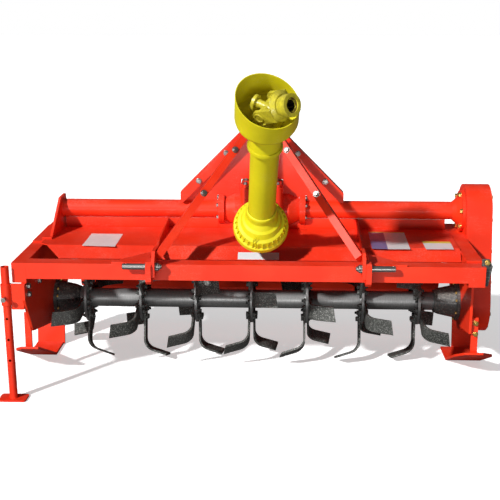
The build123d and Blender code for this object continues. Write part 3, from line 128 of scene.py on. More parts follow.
def turned(profile, around, spots):
    """Points of one turned shape at many spots: p = c + r(i) s(i, a) (u cos a + v sin a) + h(i) w.

    profile rows are (r, h, hex); s is 1 on round rings and the hexagon's cos 30 / cos(a mod 60 - 30) on hex rings.
    """
    prof = np.asarray(profile, float)
    a = np.arange(around) * 2 * math.pi / around
    hexed = math.cos(math.pi / 6) / np.cos(np.mod(a + 1e-9, math.pi / 3) - math.pi / 6)
    s = 1 + prof[:, 2:3] * (hexed[None, :] - 1)
    r = prof[:, 0:1] * s
    out = []
    for centre, axis, *rest in spots:
        u, v, w = frames(axis, rest[0] if rest else None)
        ring = r[..., None] * (np.cos(a)[None, :, None] * u + np.sin(a)[None, :, None] * v)
        out.append(np.asarray(centre) + ring + prof[:, 1][:, None, None] * w)
    return np.concatenate([o.reshape(-1, 3) for o in out])


def bolt_profile(r, washer=True, stub=0.0, tall=1.0):
    """Washer, chamfered hex head and, for a nut, the ridged end of the thread; r is half the head across corners."""
    rows = [(r * 1.22, -0.0008, 0), (r * 1.25, r * 0.16, 0), (r * 1.18, r * 0.2, 0)] if washer else [(r, -0.0008, 1)]
    base = r * 0.2 if washer else 0.0
    rows += [(r, base, 1), (r, base + r * 0.78, 1), (r * 0.9, base + r * 0.9, 0.6)]
    if stub:
        top = base + r * 0.9
        for k in range(5):
            rows += [(r * 0.56, top + stub * (k + 0.1) / 5, 0), (r * 0.5, top + stub * (k + 0.6) / 5, 0)]
        rows.append((r * 0.42, top + stub, 0))
    else:
        rows.append((r * 0.45, base + r * 0.93, 0))
    return [(out, up * tall, hexed) for out, up, hexed in rows]


def bolts(name, spots, r, body, slot, washer=True, stub=0.0, tall=1.0):
    """Hex heads or nuts of one size on one body, as one object."""
    prof = bolt_profile(r, washer, stub, tall)
    verts = turned(prof, 12, spots)
    return mesh_object(name, verts, tube_faces(len(prof), 12, len(spots)), body, 30)


def slab(name, corners, normal, thick, body, count=8, lift=0.0004):
    """Thin closed sheet over four corners: p(s, t) bilinear on a count by count grid, lifted off its seat."""
    c = np.asarray(corners, float)
    s, t = np.meshgrid(np.linspace(0, 1, count), np.linspace(0, 1, count), indexing="ij")
    s, t = s[..., None], t[..., None]
    p = c[0] * (1 - s) * (1 - t) + c[1] * s * (1 - t) + c[2] * s * t + c[3] * (1 - s) * t
    n = np.asarray(normal, float) / np.linalg.norm(normal)
    verts = np.concatenate([(p + n * (lift + thick)).reshape(-1, 3), (p + n * lift).reshape(-1, 3)])
    faces, off, last = [], count * count, count - 1
    for i in range(last):
        for j in range(last):
            q = [i * count + j, (i + 1) * count + j, (i + 1) * count + j + 1, i * count + j + 1]
            faces += [q, [off + v for v in reversed(q)]]
    edge = [i * count for i in range(count)] + [last * count + j for j in range(1, count)]
    edge += [i * count + last for i in range(last - 1, -1, -1)] + list(range(last - 1, 0, -1))
    faces += [[a, off + a, off + b, b] for a, b in zip(edge, edge[1:] + edge[:1])]
    if np.cross(c[1] - c[0], c[3] - c[0]) @ n < 0:
        faces = [f[::-1] for f in faces]
    return mesh_object(name, verts, faces, body, smooth=40)


def bead(name, paths, radius, body, around=8, step=0.0045):
    """Weld beads: a half-round seam r(s) = r (1 + 0.16 |sin(pi s / step)|) swept along straight or bent paths."""
    verts, faces, start = [], [], 0
    for path in paths:
        pts = np.asarray(path, float)
        seg = np.linalg.norm(np.diff(pts, axis=0), axis=1)
        dist = np.concatenate([[0], np.cumsum(seg)])
        count = max(4, int(dist[-1] / step * 2))
        at = np.linspace(0, dist[-1], count)
        centre = np.stack([np.interp(at, dist, pts[:, k]) for k in range(3)], -1)
        along = np.gradient(centre, axis=0)
        along /= np.linalg.norm(along, axis=1)[:, None]
        ref = np.array([0.0, 0.0, 1.0]) if abs(along[0][2]) < 0.8 else np.array([1.0, 0.0, 0.0])
        u = np.cross(along, ref)
        u /= np.linalg.norm(u, axis=1)[:, None]
        v = np.cross(along, u)
        a = np.arange(around) * 2 * math.pi / around
        r = radius * (1 + 0.16 * np.abs(np.sin(math.pi * at / step)))
        r[0] = r[-1] = radius * 0.5
        spokes = np.cos(a)[None, :, None] * u[:, None] + np.sin(a)[None, :, None] * v[:, None]
        verts.append((centre[:, None] + r[:, None, None] * spokes).reshape(-1, 3))
        faces += [[start + q for q in f] for f in tube_faces(count, around)]
        start += count * around
    return mesh_object(name, np.concatenate(verts), faces, body, 60)


# ---------------------------------------------------------------- shared effects
def group(name, ins, outs):
    """An empty node group with named float or vector inputs and outputs."""
    g = bpy.data.node_groups.new(name, "ShaderNodeTree")
    for key, kind, default in ins:
        sock = g.interface.new_socket(name=key, in_out="INPUT", socket_type=kind)
        if default is not None:
            sock.default_value = default
    for key, kind in outs:
        g.interface.new_socket(name=key, in_out="OUTPUT", socket_type=kind)
    return g, g.nodes.new("NodeGroupInput"), g.nodes.new("NodeGroupOutput")


def node(tree, kind, links=(), **props):
    """A node with its properties and inputs set; a socket as a value is linked."""
    n = tree.nodes.new(kind)
    for k, v in props.items():
        setattr(n, k, v)
    for key, value in dict(links).items():
        sock = n.inputs[key]
        if isinstance(value, bpy.types.NodeSocket):
            tree.links.new(value, sock)
        else:
            sock.default_value = value
    return n


def ramp(tree, fac, lo, hi):
    """Smooth step of a value from lo to hi."""
    limits = {"Value": fac, "From Min": lo, "From Max": hi}
    return node(tree, "ShaderNodeMapRange", limits, interpolation_type="SMOOTHSTEP").outputs[0]


def math_node(tree, op, a, b=0.0):
    return node(tree, "ShaderNodeMath", {0: a, 1: b}, operation=op).outputs[0]


def mix_colour(tree, fac, a, b, blend="MIX"):
    n = tree.nodes.new("ShaderNodeMix")
    n.data_type = "RGBA"
    n.blend_type = blend
    for sock, value in ((n.inputs[0], fac), (n.inputs[6], a), (n.inputs[7], b)):
        if isinstance(value, bpy.types.NodeSocket):
            tree.links.new(value, sock)
        else:
            sock.default_value = value
    return n.outputs[2]


FLOAT, VEC = "NodeSocketFloat", "NodeSocketVector"

# worn edges: the bevelled normal leaves the flat one near an edge, broken up by noise
edge_wear, gi, go = group("edge_wear", [("Width", FLOAT, 0.002), ("Breakup", FLOAT, 90.0), ("Amount", FLOAT, 0.5)],
                          [("Mask", FLOAT), ("Normal", VEC)])
t = edge_wear
bev = node(t, "ShaderNodeBevel", {"Radius": gi.outputs["Width"]}, samples=4)
geo = node(t, "ShaderNodeNewGeometry")
dot = node(t, "ShaderNodeVectorMath", {0: bev.outputs[0], 1: geo.outputs["Normal"]}, operation="DOT_PRODUCT")
edge = ramp(t, dot.outputs["Value"], 0.995, 0.85)
tc = node(t, "ShaderNodeTexCoord")
nz = node(t, "ShaderNodeTexNoise", {"Vector": tc.outputs["Object"], "Scale": gi.outputs["Breakup"],
                                    "Detail": 4.0, "Roughness": 0.65})
worn = ramp(t, math_node(t, "ADD", math_node(t, "MULTIPLY", edge, gi.outputs["Amount"]), nz.outputs[0]), 0.86, 1.02)
t.links.new(math_node(t, "MULTIPLY", worn, edge), go.inputs["Mask"])
t.links.new(bev.outputs[0], go.inputs["Normal"])

# dust that settles on faces that look up, in drifts
dust, gi, go = group("dust", [("Scale", FLOAT, 6.0), ("Amount", FLOAT, 0.5)], [("Mask", FLOAT)])
t = dust
geo = node(t, "ShaderNodeNewGeometry")
sep = node(t, "ShaderNodeSeparateXYZ", {0: geo.outputs["Normal"]})
tc = node(t, "ShaderNodeTexCoord")
n1 = node(t, "ShaderNodeTexNoise", {"Vector": tc.outputs["Object"], "Scale": gi.outputs["Scale"],
                                    "Detail": 6.0, "Roughness": 0.7})
n2 = node(t, "ShaderNodeTexNoise", {"Vector": tc.outputs["Object"], "Scale": 210.0, "Detail": 2.0})
up = ramp(t, sep.outputs[2], 0.2, 0.95)
drift = ramp(t, n1.outputs[0], 0.42, 0.72)
speck = ramp(t, n2.outputs[0], 0.3, 0.75)
mask = math_node(t, "MULTIPLY", math_node(t, "MULTIPLY", up, drift),
                 math_node(t, "MULTIPLY", speck, gi.outputs["Amount"]))
t.links.new(mask, go.inputs["Mask"])

# grain: fine height, slow colour drift and streaks stretched along an axis
grain, gi, go = group("grain", [("Scale", FLOAT, 300.0), ("Stretch", VEC, (1.0, 1.0, 1.0))],
                      [("Height", FLOAT), ("Drift", FLOAT), ("Streak", FLOAT)])
t = grain
tc = node(t, "ShaderNodeTexCoord")
st = node(t, "ShaderNodeVectorMath", {0: tc.outputs["Object"], 1: gi.outputs["Stretch"]}, operation="MULTIPLY")
fine = node(t, "ShaderNodeTexNoise", {"Vector": tc.outputs["Object"], "Scale": gi.outputs["Scale"],
                                      "Detail": 2.0, "Roughness": 0.5})
slow = node(t, "ShaderNodeTexNoise", {"Vector": tc.outputs["Object"], "Scale": 4.5, "Detail": 3.0, "Roughness": 0.55})
line = node(t, "ShaderNodeTexNoise", {"Vector": st.outputs[0], "Scale": 60.0, "Detail": 5.0, "Roughness": 0.7})
t.links.new(fine.outputs[0], go.inputs["Height"])
t.links.new(ramp(t, slow.outputs[0], 0.3, 0.7), go.inputs["Drift"])
t.links.new(ramp(t, line.outputs[0], 0.35, 0.68), go.inputs["Streak"])

# scratches: thin bright lines from two stretched noises, kept to a few patches
scratch, gi, go = group("scratches", [("Scale", FLOAT, 14.0), ("Amount", FLOAT, 0.6)], [("Mask", FLOAT)])
t = scratch
tc = node(t, "ShaderNodeTexCoord")
total = None
for turn, stretch in (((0.4, 0.2, 0.5), (1.0, 14.0, 9.0)), ((1.1, 0.7, -0.4), (12.0, 1.0, 10.0))):
    mp = node(t, "ShaderNodeMapping", {"Vector": tc.outputs["Object"], "Rotation": turn, "Scale": stretch})
    sn = node(t, "ShaderNodeTexNoise", {"Vector": mp.outputs[0], "Scale": gi.outputs["Scale"],
                                        "Detail": 3.0, "Roughness": 0.5})
    line = ramp(t, math_node(t, "ABSOLUTE", math_node(t, "SUBTRACT", sn.outputs[0], 0.5)), 0.008, 0.0)
    total = line if total is None else math_node(t, "MAXIMUM", total, line)
patch = node(t, "ShaderNodeTexNoise", {"Vector": tc.outputs["Object"], "Scale": 7.0, "Detail": 2.0})
mask = math_node(t, "MULTIPLY", total, ramp(t, patch.outputs[0], 0.5, 0.64))
t.links.new(math_node(t, "MULTIPLY", mask, gi.outputs["Amount"]), go.inputs["Mask"])


def use(tree, g, **values):
    n = tree.nodes.new("ShaderNodeGroup")
    n.node_tree = g
    for k, v in values.items():
        n.inputs[k.replace("_", " ")].default_value = v
    return n


def rgb(r, g, b):
    return (r, g, b, 1.0)


def finish(name, base, deep, roughness, metallic=0.0, coat=0.0, coat_rough=0.1, wear=None, wear_amount=0.35,
           edge=0.0015, dusty=0.25, dust_colour=(0.62, 0.52, 0.44), grain_scale=300.0, bump=0.06, bump_size=0.0005,
           stretch=(1.0, 1.0, 1.0), streak=0.12, scratched=0.3, scratch_colour=(0.75, 0.6, 0.55), rough_span=0.12,
           wear_metal=0.6, specular=0.5, speckle=None):
    """One finished surface: drifted base colour, streaks, worn edges, scratches, dust, grain and softened edges."""
    m = bpy.data.materials.new(name)
    m.use_nodes = True
    t = m.node_tree
    p = t.nodes["Principled BSDF"]
    gr = use(t, grain, Scale=grain_scale, Stretch=stretch)
    ew = use(t, edge_wear, Width=edge, Amount=wear_amount)
    du = use(t, dust, Amount=dusty)
    sc = use(t, scratch, Amount=scratched)
    colour = mix_colour(t, gr.outputs["Drift"], rgb(*base), rgb(*deep))
    streaks = math_node(t, "MULTIPLY", gr.outputs["Streak"], streak)
    colour = mix_colour(t, streaks, colour, rgb(*[c * 0.55 for c in deep]))
    colour = mix_colour(t, sc.outputs[0], colour, rgb(*scratch_colour))
    if speckle:
        colour = mix_colour(t, ramp(t, gr.outputs["Height"], 0.52, 0.66), colour, rgb(*speckle))
    if wear:
        colour = mix_colour(t, ew.outputs["Mask"], colour, rgb(*wear))
        shine = math_node(t, "MULTIPLY", ew.outputs["Mask"], wear_metal - metallic)
        t.links.new(math_node(t, "ADD", metallic, shine), p.inputs["Metallic"])
    else:
        p.inputs["Metallic"].default_value = metallic
    colour = mix_colour(t, du.outputs[0], colour, rgb(*dust_colour))
    t.links.new(colour, p.inputs["Base Color"])
    rough = math_node(t, "ADD", roughness, math_node(t, "MULTIPLY", gr.outputs["Drift"], rough_span))
    rough = math_node(t, "ADD", rough, math_node(t, "MULTIPLY", du.outputs[0], 0.4))
    t.links.new(rough, p.inputs["Roughness"])
    bm = node(t, "ShaderNodeBump", {"Height": gr.outputs["Height"], "Strength": bump, "Distance": bump_size,
                                    "Normal": ew.outputs["Normal"]})
    t.links.new(bm.outputs[0], p.inputs["Normal"])
    p.inputs["Coat Weight"].default_value = coat
    p.inputs["Coat Roughness"].default_value = coat_rough
    p.inputs["Specular IOR Level"].default_value = specular
    return m


RED = finish("red_paint", (0.82, 0.036, 0.008), (0.74, 0.026, 0.006), 0.42, coat=0.10, coat_rough=0.12,
             wear=(0.35, 0.10, 0.07), wear_amount=0.22, dusty=0.16, grain_scale=420.0, bump=0.10, streak=0.05,
             scratched=0.22, scratch_colour=(0.95, 0.35, 0.28), specular=0.25)
BLACK = finish("black_paint", (0.024, 0.025, 0.024), (0.045, 0.046, 0.043), 0.42, coat=0.12,
               wear=(0.22, 0.21, 0.20), wear_amount=0.3, dusty=0.5, grain_scale=130.0, bump=0.9, bump_size=0.0016,
               streak=0.2, scratched=0.5, scratch_colour=(0.3, 0.3, 0.28), speckle=(0.11, 0.11, 0.10))
ROTOR_TUBE = finish("rotor_tube_steel", (0.33, 0.33, 0.325), (0.19, 0.19, 0.188), 0.38, metallic=0.6,
                    wear=(0.34, 0.33, 0.31), wear_amount=0.3, dusty=0.35, dust_colour=(0.30, 0.28, 0.26),
                    grain_scale=220.0, bump=0.25, stretch=(22.0, 1.0, 1.0), streak=0.75, scratched=0.6,
                    scratch_colour=(0.42, 0.42, 0.40))
TINE = finish("forged_tine_steel", (0.105, 0.108, 0.100), (0.030, 0.032, 0.028), 0.40, metallic=0.35,
              wear=(0.36, 0.36, 0.34), wear_amount=0.35, dusty=0.45, dust_colour=(0.20, 0.20, 0.18),
              grain_scale=230.0, bump=1.0, bump_size=0.0022, streak=0.45, stretch=(3.0, 3.0, 3.0), scratched=0.5,
              scratch_colour=(0.30, 0.30, 0.28), speckle=(0.24, 0.24, 0.225))
ZINC = finish("zinc_plate", (0.40, 0.39, 0.37), (0.28, 0.27, 0.26), 0.30, metallic=0.95, wear=(0.30, 0.27, 0.25),
              wear_amount=0.2, dusty=0.3, grain_scale=700.0, bump=0.1, stretch=(1.0, 20.0, 20.0), streak=0.35,
              scratched=0.4, scratch_colour=(0.8, 0.8, 0.78))
YELLOW_ZINC = finish("yellow_zinc_plate", (0.80, 0.55, 0.14), (0.62, 0.40, 0.12), 0.24, metallic=0.9, dusty=0.2,
                     grain_scale=600.0, bump=0.1, streak=0.25, scratched=0.2, scratch_colour=(0.85, 0.8, 0.6))
GUARD = finish("yellow_guard_plastic", (0.70, 0.62, 0.010), (0.64, 0.56, 0.008), 0.44, dusty=0.15,
               dust_colour=(0.45, 0.40, 0.20), grain_scale=900.0, bump=0.12, bump_size=0.0003, streak=0.06,
               scratched=0.35, scratch_colour=(0.85, 0.80, 0.40), edge=0.0012, specular=0.28)
JOINT = finish("yellow_joint_paint", (0.60, 0.52, 0.028), (0.36, 0.30, 0.020), 0.36, coat=0.2,
               wear=(0.10, 0.085, 0.03), wear_amount=0.5, dusty=0.2, grain_scale=140.0, bump=0.6, bump_size=0.0014,
               streak=0.5, scratched=0.4, scratch_colour=(0.7, 0.66, 0.3), wear_metal=0.2)
RUST = finish("rusty_bore_face", (0.16, 0.085, 0.012), (0.05, 0.028, 0.006), 0.5, dusty=0.0, grain_scale=500.0,
              bump=0.5, streak=0.4)
DARK_BORE = finish("oiled_steel", (0.020, 0.016, 0.010), (0.035, 0.026, 0.014), 0.34, metallic=0.6, dusty=0.0,
                   grain_scale=300.0, bump=0.2)


def label_finish(name, base, tone):
    return finish(name, base, tone, 0.34, coat=0.25, dusty=0.3, dust_colour=(0.55, 0.5, 0.46), grain_scale=800.0,
                  bump=0.05, streak=0.10, scratched=0.35, scratch_colour=(0.55, 0.52, 0.5), edge=0.0004)


WHITE = label_finish("label_white", (0.78, 0.79, 0.78), (0.66, 0.68, 0.69))
BLUE = label_finish("label_blue", (0.085, 0.16, 0.36), (0.07, 0.13, 0.30))
LABEL_YELLOW = label_finish("label_yellow", (0.72, 0.62, 0.07), (0.62, 0.54, 0.06))


def wear_on(obj, material):
    """The material on an object's only slot, or on each of its slots."""
    slots = obj.data.materials
    if len(slots) == 0:
        slots.append(material)
    for k in range(len(slots)):
        slots[k] = material


BY_SLOT = {"red_paint": RED, "black_paint": BLACK, "rotor_steel": TINE, "bright_steel": ZINC, "bare_steel": ZINC,
           "yellow_joint": JOINT, "yellow_guard": GUARD}
SLOT_OF = {s["node"]: s["material_slot"] for s in frame["record"]["subparts"]}
for name, obj in NODES.items():
    wear_on(obj, BY_SLOT[SLOT_OF[name]])
wear_on(NODES["rotor_shaft"], ROTOR_TUBE)


def dressed(obj, material):
    wear_on(obj, material)
    return obj


# ---------------------------------------------------------------- bolts of the frame
def ring(count, first=30.0):
    """Angles evenly round a circle, in radians, from a first one in degrees."""
    return np.radians(first + np.arange(count) * 360.0 / count)


def across_x(x, centre, radius, angles, way):
    """Spots on a circle in the plane at x, p = (x, cy + r cos a, cz + r sin a), each facing along way X."""
    return [((x, centre[0] + radius * math.cos(a), centre[1] + radius * math.sin(a)), way * X) for a in angles]


def frame_bolts(name, spots, r, material, **how):
    return dressed(bolts(name, spots, r, "frame", "bright_steel", **how), material)


BELL_FLANGE_T = 0.012
bell_angles = math.pi - np.radians([135, 74, 11, -47, -110, -170])
frame_bolts("bell_flange_bolts", across_x(CASE_X - BELL_FLANGE_T, TUBE, 0.072, bell_angles, -1), 0.0095, YELLOW_ZINC)

TUBE_FLANGE_T = 0.012
right_face, left_face = low("main_tube_right")[0] + TUBE_FLANGE_T, high("main_tube_left")[0] - TUBE_FLANGE_T
spots = across_x(right_face, TUBE, 0.049, ring(6), 1) + across_x(left_face, TUBE, 0.049, ring(6), -1)
frame_bolts("tube_flange_bolts", spots, 0.0085, ZINC, washer=False)

BEARING_FLANGE_T = 0.014
bearing_angles = np.radians([15, 75, 135, 160, 202, 262, 322])
spots = across_x(low("rotor_bearing_left")[0] + BEARING_FLANGE_T, ROTOR, 0.073, bearing_angles, 1)
spots += across_x(high("rotor_bearing_right")[0] - BEARING_FLANGE_T, ROTOR, 0.073, bearing_angles, -1)
frame_bolts("bearing_flange_bolts", spots, 0.0062, YELLOW_ZINC, washer=False)

# ---------------------------------------------------------------- pressed cover of the chain case
CASE_TOP_R, CASE_LOW_R, BOLT_IN = 0.109, 0.119, 0.010     # end circles of the case, bolts a little inside
RIM_DEPTH = 0.0034                                        # the bolted rim lies below the middle of the cover
top, bottom = np.array(TUBE), np.array(ROTOR)
rim_x = COVER_X - RIM_DEPTH
lean = math.atan2(bottom[0] - top[0], top[1] - bottom[1])
swell = math.asin((CASE_LOW_R - CASE_TOP_R) / np.linalg.norm(top - bottom))
turn = np.array([[math.cos(lean), math.sin(lean)], [-math.sin(lean), math.cos(lean)]])

# the bolts follow the two end circles and the straights between them
cover_yz = []
for way in (-1, 1):
    normal = turn @ np.array([way * math.cos(swell), math.sin(swell)])
    a, b = top + normal * (CASE_TOP_R - BOLT_IN), bottom + normal * (CASE_LOW_R - BOLT_IN)
    cover_yz += [a * (1 - s) + b * s for s in (0.0, 0.33, 0.66, 1.0)]
for centre, r, arc in ((top, CASE_TOP_R - BOLT_IN, (45, 90, 135)), (bottom, CASE_LOW_R - BOLT_IN, (-45, -90, -135))):
    cover_yz += [centre + r * np.array([math.cos(math.radians(a)), math.sin(math.radians(a))]) for a in arc]


def cover_ring(inset, x, count=48):
    """Outline of the case drawn in by an inset: c + (r - inset)(cos a, sin a) round each end, joined by tangents."""
    arcs = []
    for centre, r, start, end in ((top, CASE_TOP_R, swell, math.pi - swell),
                                  (bottom, CASE_LOW_R, math.pi - swell, 2 * math.pi + swell)):
        at = np.linspace(start, end, count)
        arcs.append(centre + np.stack([np.cos(at), np.sin(at)], -1) * (r - inset) @ turn.T)
    yz = np.concatenate(arcs)
    return np.column_stack([np.full(len(yz), x), yz])


# (inset, x): edge, rim, pressed step, flat middle
cover_rows = [(0.0, low("chain_case_cover")[0]), (0.0, rim_x - 0.0003), (0.0006, rim_x), (0.0215, rim_x),
              (0.0232, rim_x + 0.0008), (0.0262, COVER_X - 0.0008), (0.0280, COVER_X), (0.060, COVER_X)]
verts = np.concatenate([cover_ring(inset, x) for inset, x in cover_rows])
faces = [f[::-1] for f in tube_faces(len(cover_rows), 96)]
cover = mesh_object("pressed_cover", verts, faces, "frame", 40)
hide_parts("chain_case_cover")
dressed(cover, RED)
frame_bolts("cover_bolts", [((rim_x, y, z), X) for y, z in cover_yz], 0.0085, YELLOW_ZINC, tall=0.34)
spots = [((rim_x, bottom[0] + 0.09, bottom[1] - 0.055), X), ((rim_x, top[0] + 0.085, top[1] + 0.040), X)]
frame_bolts("case_plugs", spots, 0.0100, YELLOW_ZINC, tall=0.28)

# ---------------------------------------------------------------- bolts of the mast, hitch, skids and leg
strut_front = TUBE[0] - 0.044
spots = [((HX + way * x, strut_front, z), -Y) for way in (-1, 1) for x, z in ((0.143, 0.860), (0.255, 0.746))]
frame_bolts("strut_bolts", spots, 0.0095, ZINC)

ARM_SEAT = 0.025                               # from an arm's middle line to the seat of its bolts
spots = []
for way in (-1, 1):
    foot = np.array([HX + way * 0.3665, F + 0.005, BEAM_TOP + 0.028])
    head = np.array([HX + way * 0.051, F + 0.39, 0.961])
    run = head - foot
    outward = np.cross(np.cross(Y, run), run)
    outward *= -np.sign(outward[1]) / np.linalg.norm(outward)
    spots += [(foot + run * share + outward * ARM_SEAT, outward) for share in (0.47, 0.82)]
frame_bolts("arm_bolts", spots, 0.0105, ZINC)

# hitch pins: a nut and the ridged end of the thread at the inner end of each pin
NUT_IN = 0.018
right_pin, left_pin = mid("hitch_pin_right"), mid("hitch_pin_left")
spots = [((low("hitch_pin_right")[0] + NUT_IN, right_pin[1], right_pin[2]), -X),
         ((high("hitch_pin_left")[0] - NUT_IN, left_pin[1], left_pin[2]), X)]
frame_bolts("hitch_pin_nuts", spots, 0.0150, ZINC, washer=False, stub=0.010)

case_strap_x = HX + 0.835
spots = [((mid("skid_left")[0] + 0.026, F + 0.198, 0.247), -Y),
         ((case_strap_x, F + 0.198, 0.247), -Y), ((case_strap_x, F + 0.193, 0.205), -Y)]
frame_bolts("strap_bolts", spots, 0.0085, YELLOW_ZINC)
frame_bolts("bracket_bolts", [((HX + 0.822, F + 0.016, 0.544), -Y)], 0.0085, YELLOW_ZINC)

plate_face = low("side_plate_left")[0] + 0.010
spots = [((plate_face, F + y, z), X) for y, z in ((0.010, 0.440), (0.012, 0.408), (0.16, 0.415))]
frame_bolts("leg_bracket_bolts", spots, 0.0105, ZINC)

rod = mid("board_rod")
spots = [((low("board_rod")[0] + 0.001, rod[1], rod[2]), -X), ((high("board_rod")[0] - 0.001, rod[1], rod[2]), X)]
frame_bolts("board_rod_nuts", spots, 0.0125, ZINC, washer=False)

# ---------------------------------------------------------------- bolts of the gearbox
COVER_BOLT_IN, GEARBOX_COVER_T = 0.014, 0.014
cover_low, cover_high = low("gearbox_cover"), high("gearbox_cover")
deck = high("gearbox")[2] + GEARBOX_COVER_T
along_y = np.linspace(cover_low[1] + COVER_BOLT_IN, cover_high[1] - COVER_BOLT_IN, 3)
spots = [((x, y, deck), Z) for x in (cover_low[0] + COVER_BOLT_IN, cover_high[0] - COVER_BOLT_IN) for y in along_y]
frame_bolts("gearbox_cover_bolts", spots, 0.0085, ZINC)

GEARBOX_DEPTH, BOSS_LENGTH, BOSS_BOLTS_R = 0.200, 0.022, 0.047     # the input boss stands on the front
boss_y = TUBE[0] - GEARBOX_DEPTH / 2 - BOSS_LENGTH
spots = [((LOWER[0] + BOSS_BOLTS_R * math.cos(a), boss_y, LOWER[2] + BOSS_BOLTS_R * math.sin(a)), -Y)
         for a in ring(6)]
frame_bolts("input_cap_bolts", spots, 0.0065, ZINC, washer=False)

# ---------------------------------------------------------------- tine bolts on the rotor
FLANGES, TINES = 7, 6
PITCH, FIRST_X = 0.2255, HX - 0.715            # flanges along the rotor
PHASE, STEP = 4.0, 13.0                        # degrees: first tine below the front, and turn per flange
SEAT_R, PAIR_HALF = 0.078, 0.014               # two bolts a tine
HEAD_OUT, NUT_OUT = 0.013, 0.005               # seats from the middle of the flange: on the tine, and behind
heads, nuts = [], []
for k in range(FLANGES):
    centre = np.array([FIRST_X + k * PITCH, ROTOR[0], ROTOR[1]])
    for j in range(TINES):
        way = -1 if j % 2 == 0 else 1
        a = math.radians(PHASE + STEP * k + j * 360 / TINES)
        radial = np.array([0.0, -math.cos(a), -math.sin(a)])
        across = np.array([0.0, math.sin(a), -math.cos(a)])
        for shift in (-PAIR_HALF, PAIR_HALF):
            spot = centre + radial * SEAT_R + across * shift
            heads.append((spot + X * way * HEAD_OUT, X * way))
            nuts.append((spot - X * way * NUT_OUT, -X * way))
dressed(bolts("tine_bolt_heads", heads, 0.0105, "rotor", "rotor_steel", washer=False), BLACK)
dressed(bolts("tine_bolt_nuts", nuts, 0.0105, "rotor", "rotor_steel", washer=False, stub=0.008), BLACK)

# ---------------------------------------------------------------- welds
SEAM_R = 0.0375                                # seams round the main tube
around_seam = np.linspace(0, 2 * math.pi, 40)


def seam_round(x, centre, radius):
    """Closed path about an axis along X: (x, cy + r cos a, cz + r sin a)."""
    y, z = centre[0] + radius * np.cos(around_seam), centre[1] + radius * np.sin(around_seam)
    return np.stack([np.full_like(around_seam, x), y, z], -1)


paths = []
for name in ("hitch_lug_left", "hitch_lug_right"):
    for x in (low(name)[0], high(name)[0]):
        paths.append([(x, F - 0.0005, BEAM_TOP - 0.055), (x, F - 0.0005, BEAM_TOP - 0.001)])
        paths.append([(x, F + 0.004, BEAM_TOP + 0.0005), (x, F + 0.056, BEAM_TOP + 0.0005)])
paths.append(seam_round(high("tube_end_plate")[0] + 0.001, TUBE, SEAM_R))
paths.append(seam_round(high("main_tube_left")[0] - 0.0125, TUBE, SEAM_R))
plate_y, plate_z = TUBE[0] - 0.004, TUBE[1] + 0.0370
paths += [[(HX + way * 0.200, plate_y, plate_z), (HX + way * 0.328, plate_y, plate_z)] for way in (-1, 1)]
dressed(bead("weld_beads", paths, 0.0028, "frame"), RED)

SEAM_OUT, ROTOR_SEAM_R = 0.0055, 0.0388        # seams just off both faces of each flange
paths = [seam_round(FIRST_X + k * PITCH + side, ROTOR, ROTOR_SEAM_R)
         for k in range(FLANGES) for side in (-SEAM_OUT, SEAM_OUT)]
dressed(bead("rotor_welds", paths, 0.0030, "rotor"), ROTOR_TUBE)


# ---------------------------------------------------------------- plates that seat the gearbox in the frame
def plate_between(name, xs, lows, highs, y_front, thick, body):
    """Upright plate between z = low(x) and z = high(x), from y to y + thick, closed round the edge."""
    n = len(xs)
    front_low = np.stack([xs, np.full(n, y_front), lows], -1)
    front_high = np.stack([xs, np.full(n, y_front), highs], -1)
    back = np.array([0.0, thick, 0.0])
    verts = np.concatenate([front_low, front_high, front_high + back, front_low + back])
    faces = []
    for side in range(4):
        for i in range(n - 1):
            a, b = side * n + i, ((side + 1) % 4) * n + i
            faces.append([a, a + 1, b + 1, b])
    faces.append([0, n, 2 * n, 3 * n])
    faces.append([n - 1, 4 * n - 1, 3 * n - 1, 2 * n - 1])
    return mesh_object(name, verts, faces, body, 40)


# outline of a trumpet from the centreline out: straight root, taper to the neck, flange of the tube
TRUMPET_X = [0.084, 0.109, 0.153, 0.1531, 0.178]
TRUMPET_R = [0.066, 0.066, 0.046, 0.060, 0.060]


def trumpet_reach(x, off_axis):
    """Height of a gearbox trumpet above its axis at x, in a plane off_axis in front: sqrt(r(x)^2 - off_axis^2)."""
    r = np.interp(np.abs(x), TRUMPET_X, TRUMPET_R)
    return np.sqrt(r ** 2 - off_axis ** 2)


BITE, SADDLE_T = 0.0008, 0.007                 # how far a plate goes into the casting, and its thickness
for way, side in ((-1, "left"), (1, "right")):
    xs = np.concatenate([[0.0851, 0.0911], np.linspace(0.0912, 0.1835, 26)])
    highs = TUBE[1] + np.where(xs < 0.09115, 0.1255, 0.0662)
    lows = TUBE[1] + trumpet_reach(xs, 0.004) - BITE
    order = slice(None, None, way)
    saddle = plate_between("mast_saddle_" + side, HX + way * xs[order], lows[order], highs[order],
                           TUBE[0] - 0.0035, SADDLE_T, "frame")
    dressed(saddle, RED)
xs = np.linspace(-0.176, 0.176, 45)
underside = TUBE[1] - np.where(np.abs(xs) > 0.0845, trumpet_reach(xs, 0.014) - BITE, 0.0745)
dressed(plate_between("web_saddle", HX + xs, np.full_like(xs, HOOD_Z - 0.0005), underside,
                      TUBE[0] - 0.0195, SADDLE_T, "frame"), RED)

# ---------------------------------------------------------------- folded hem of the trailing board
HEM_R, HEM_T, HEM_DROP = 0.0080, 0.0030, 0.0220
lip_low, board_y = low("trailing_board")[2], high("trailing_board")[1]
bend = np.linspace(0, math.pi / 2, 6)


def hem_arc(r, angles):
    return [(board_y - 0.0082 + r * math.sin(q), lip_low - HEM_T + r * math.cos(q)) for q in angles]


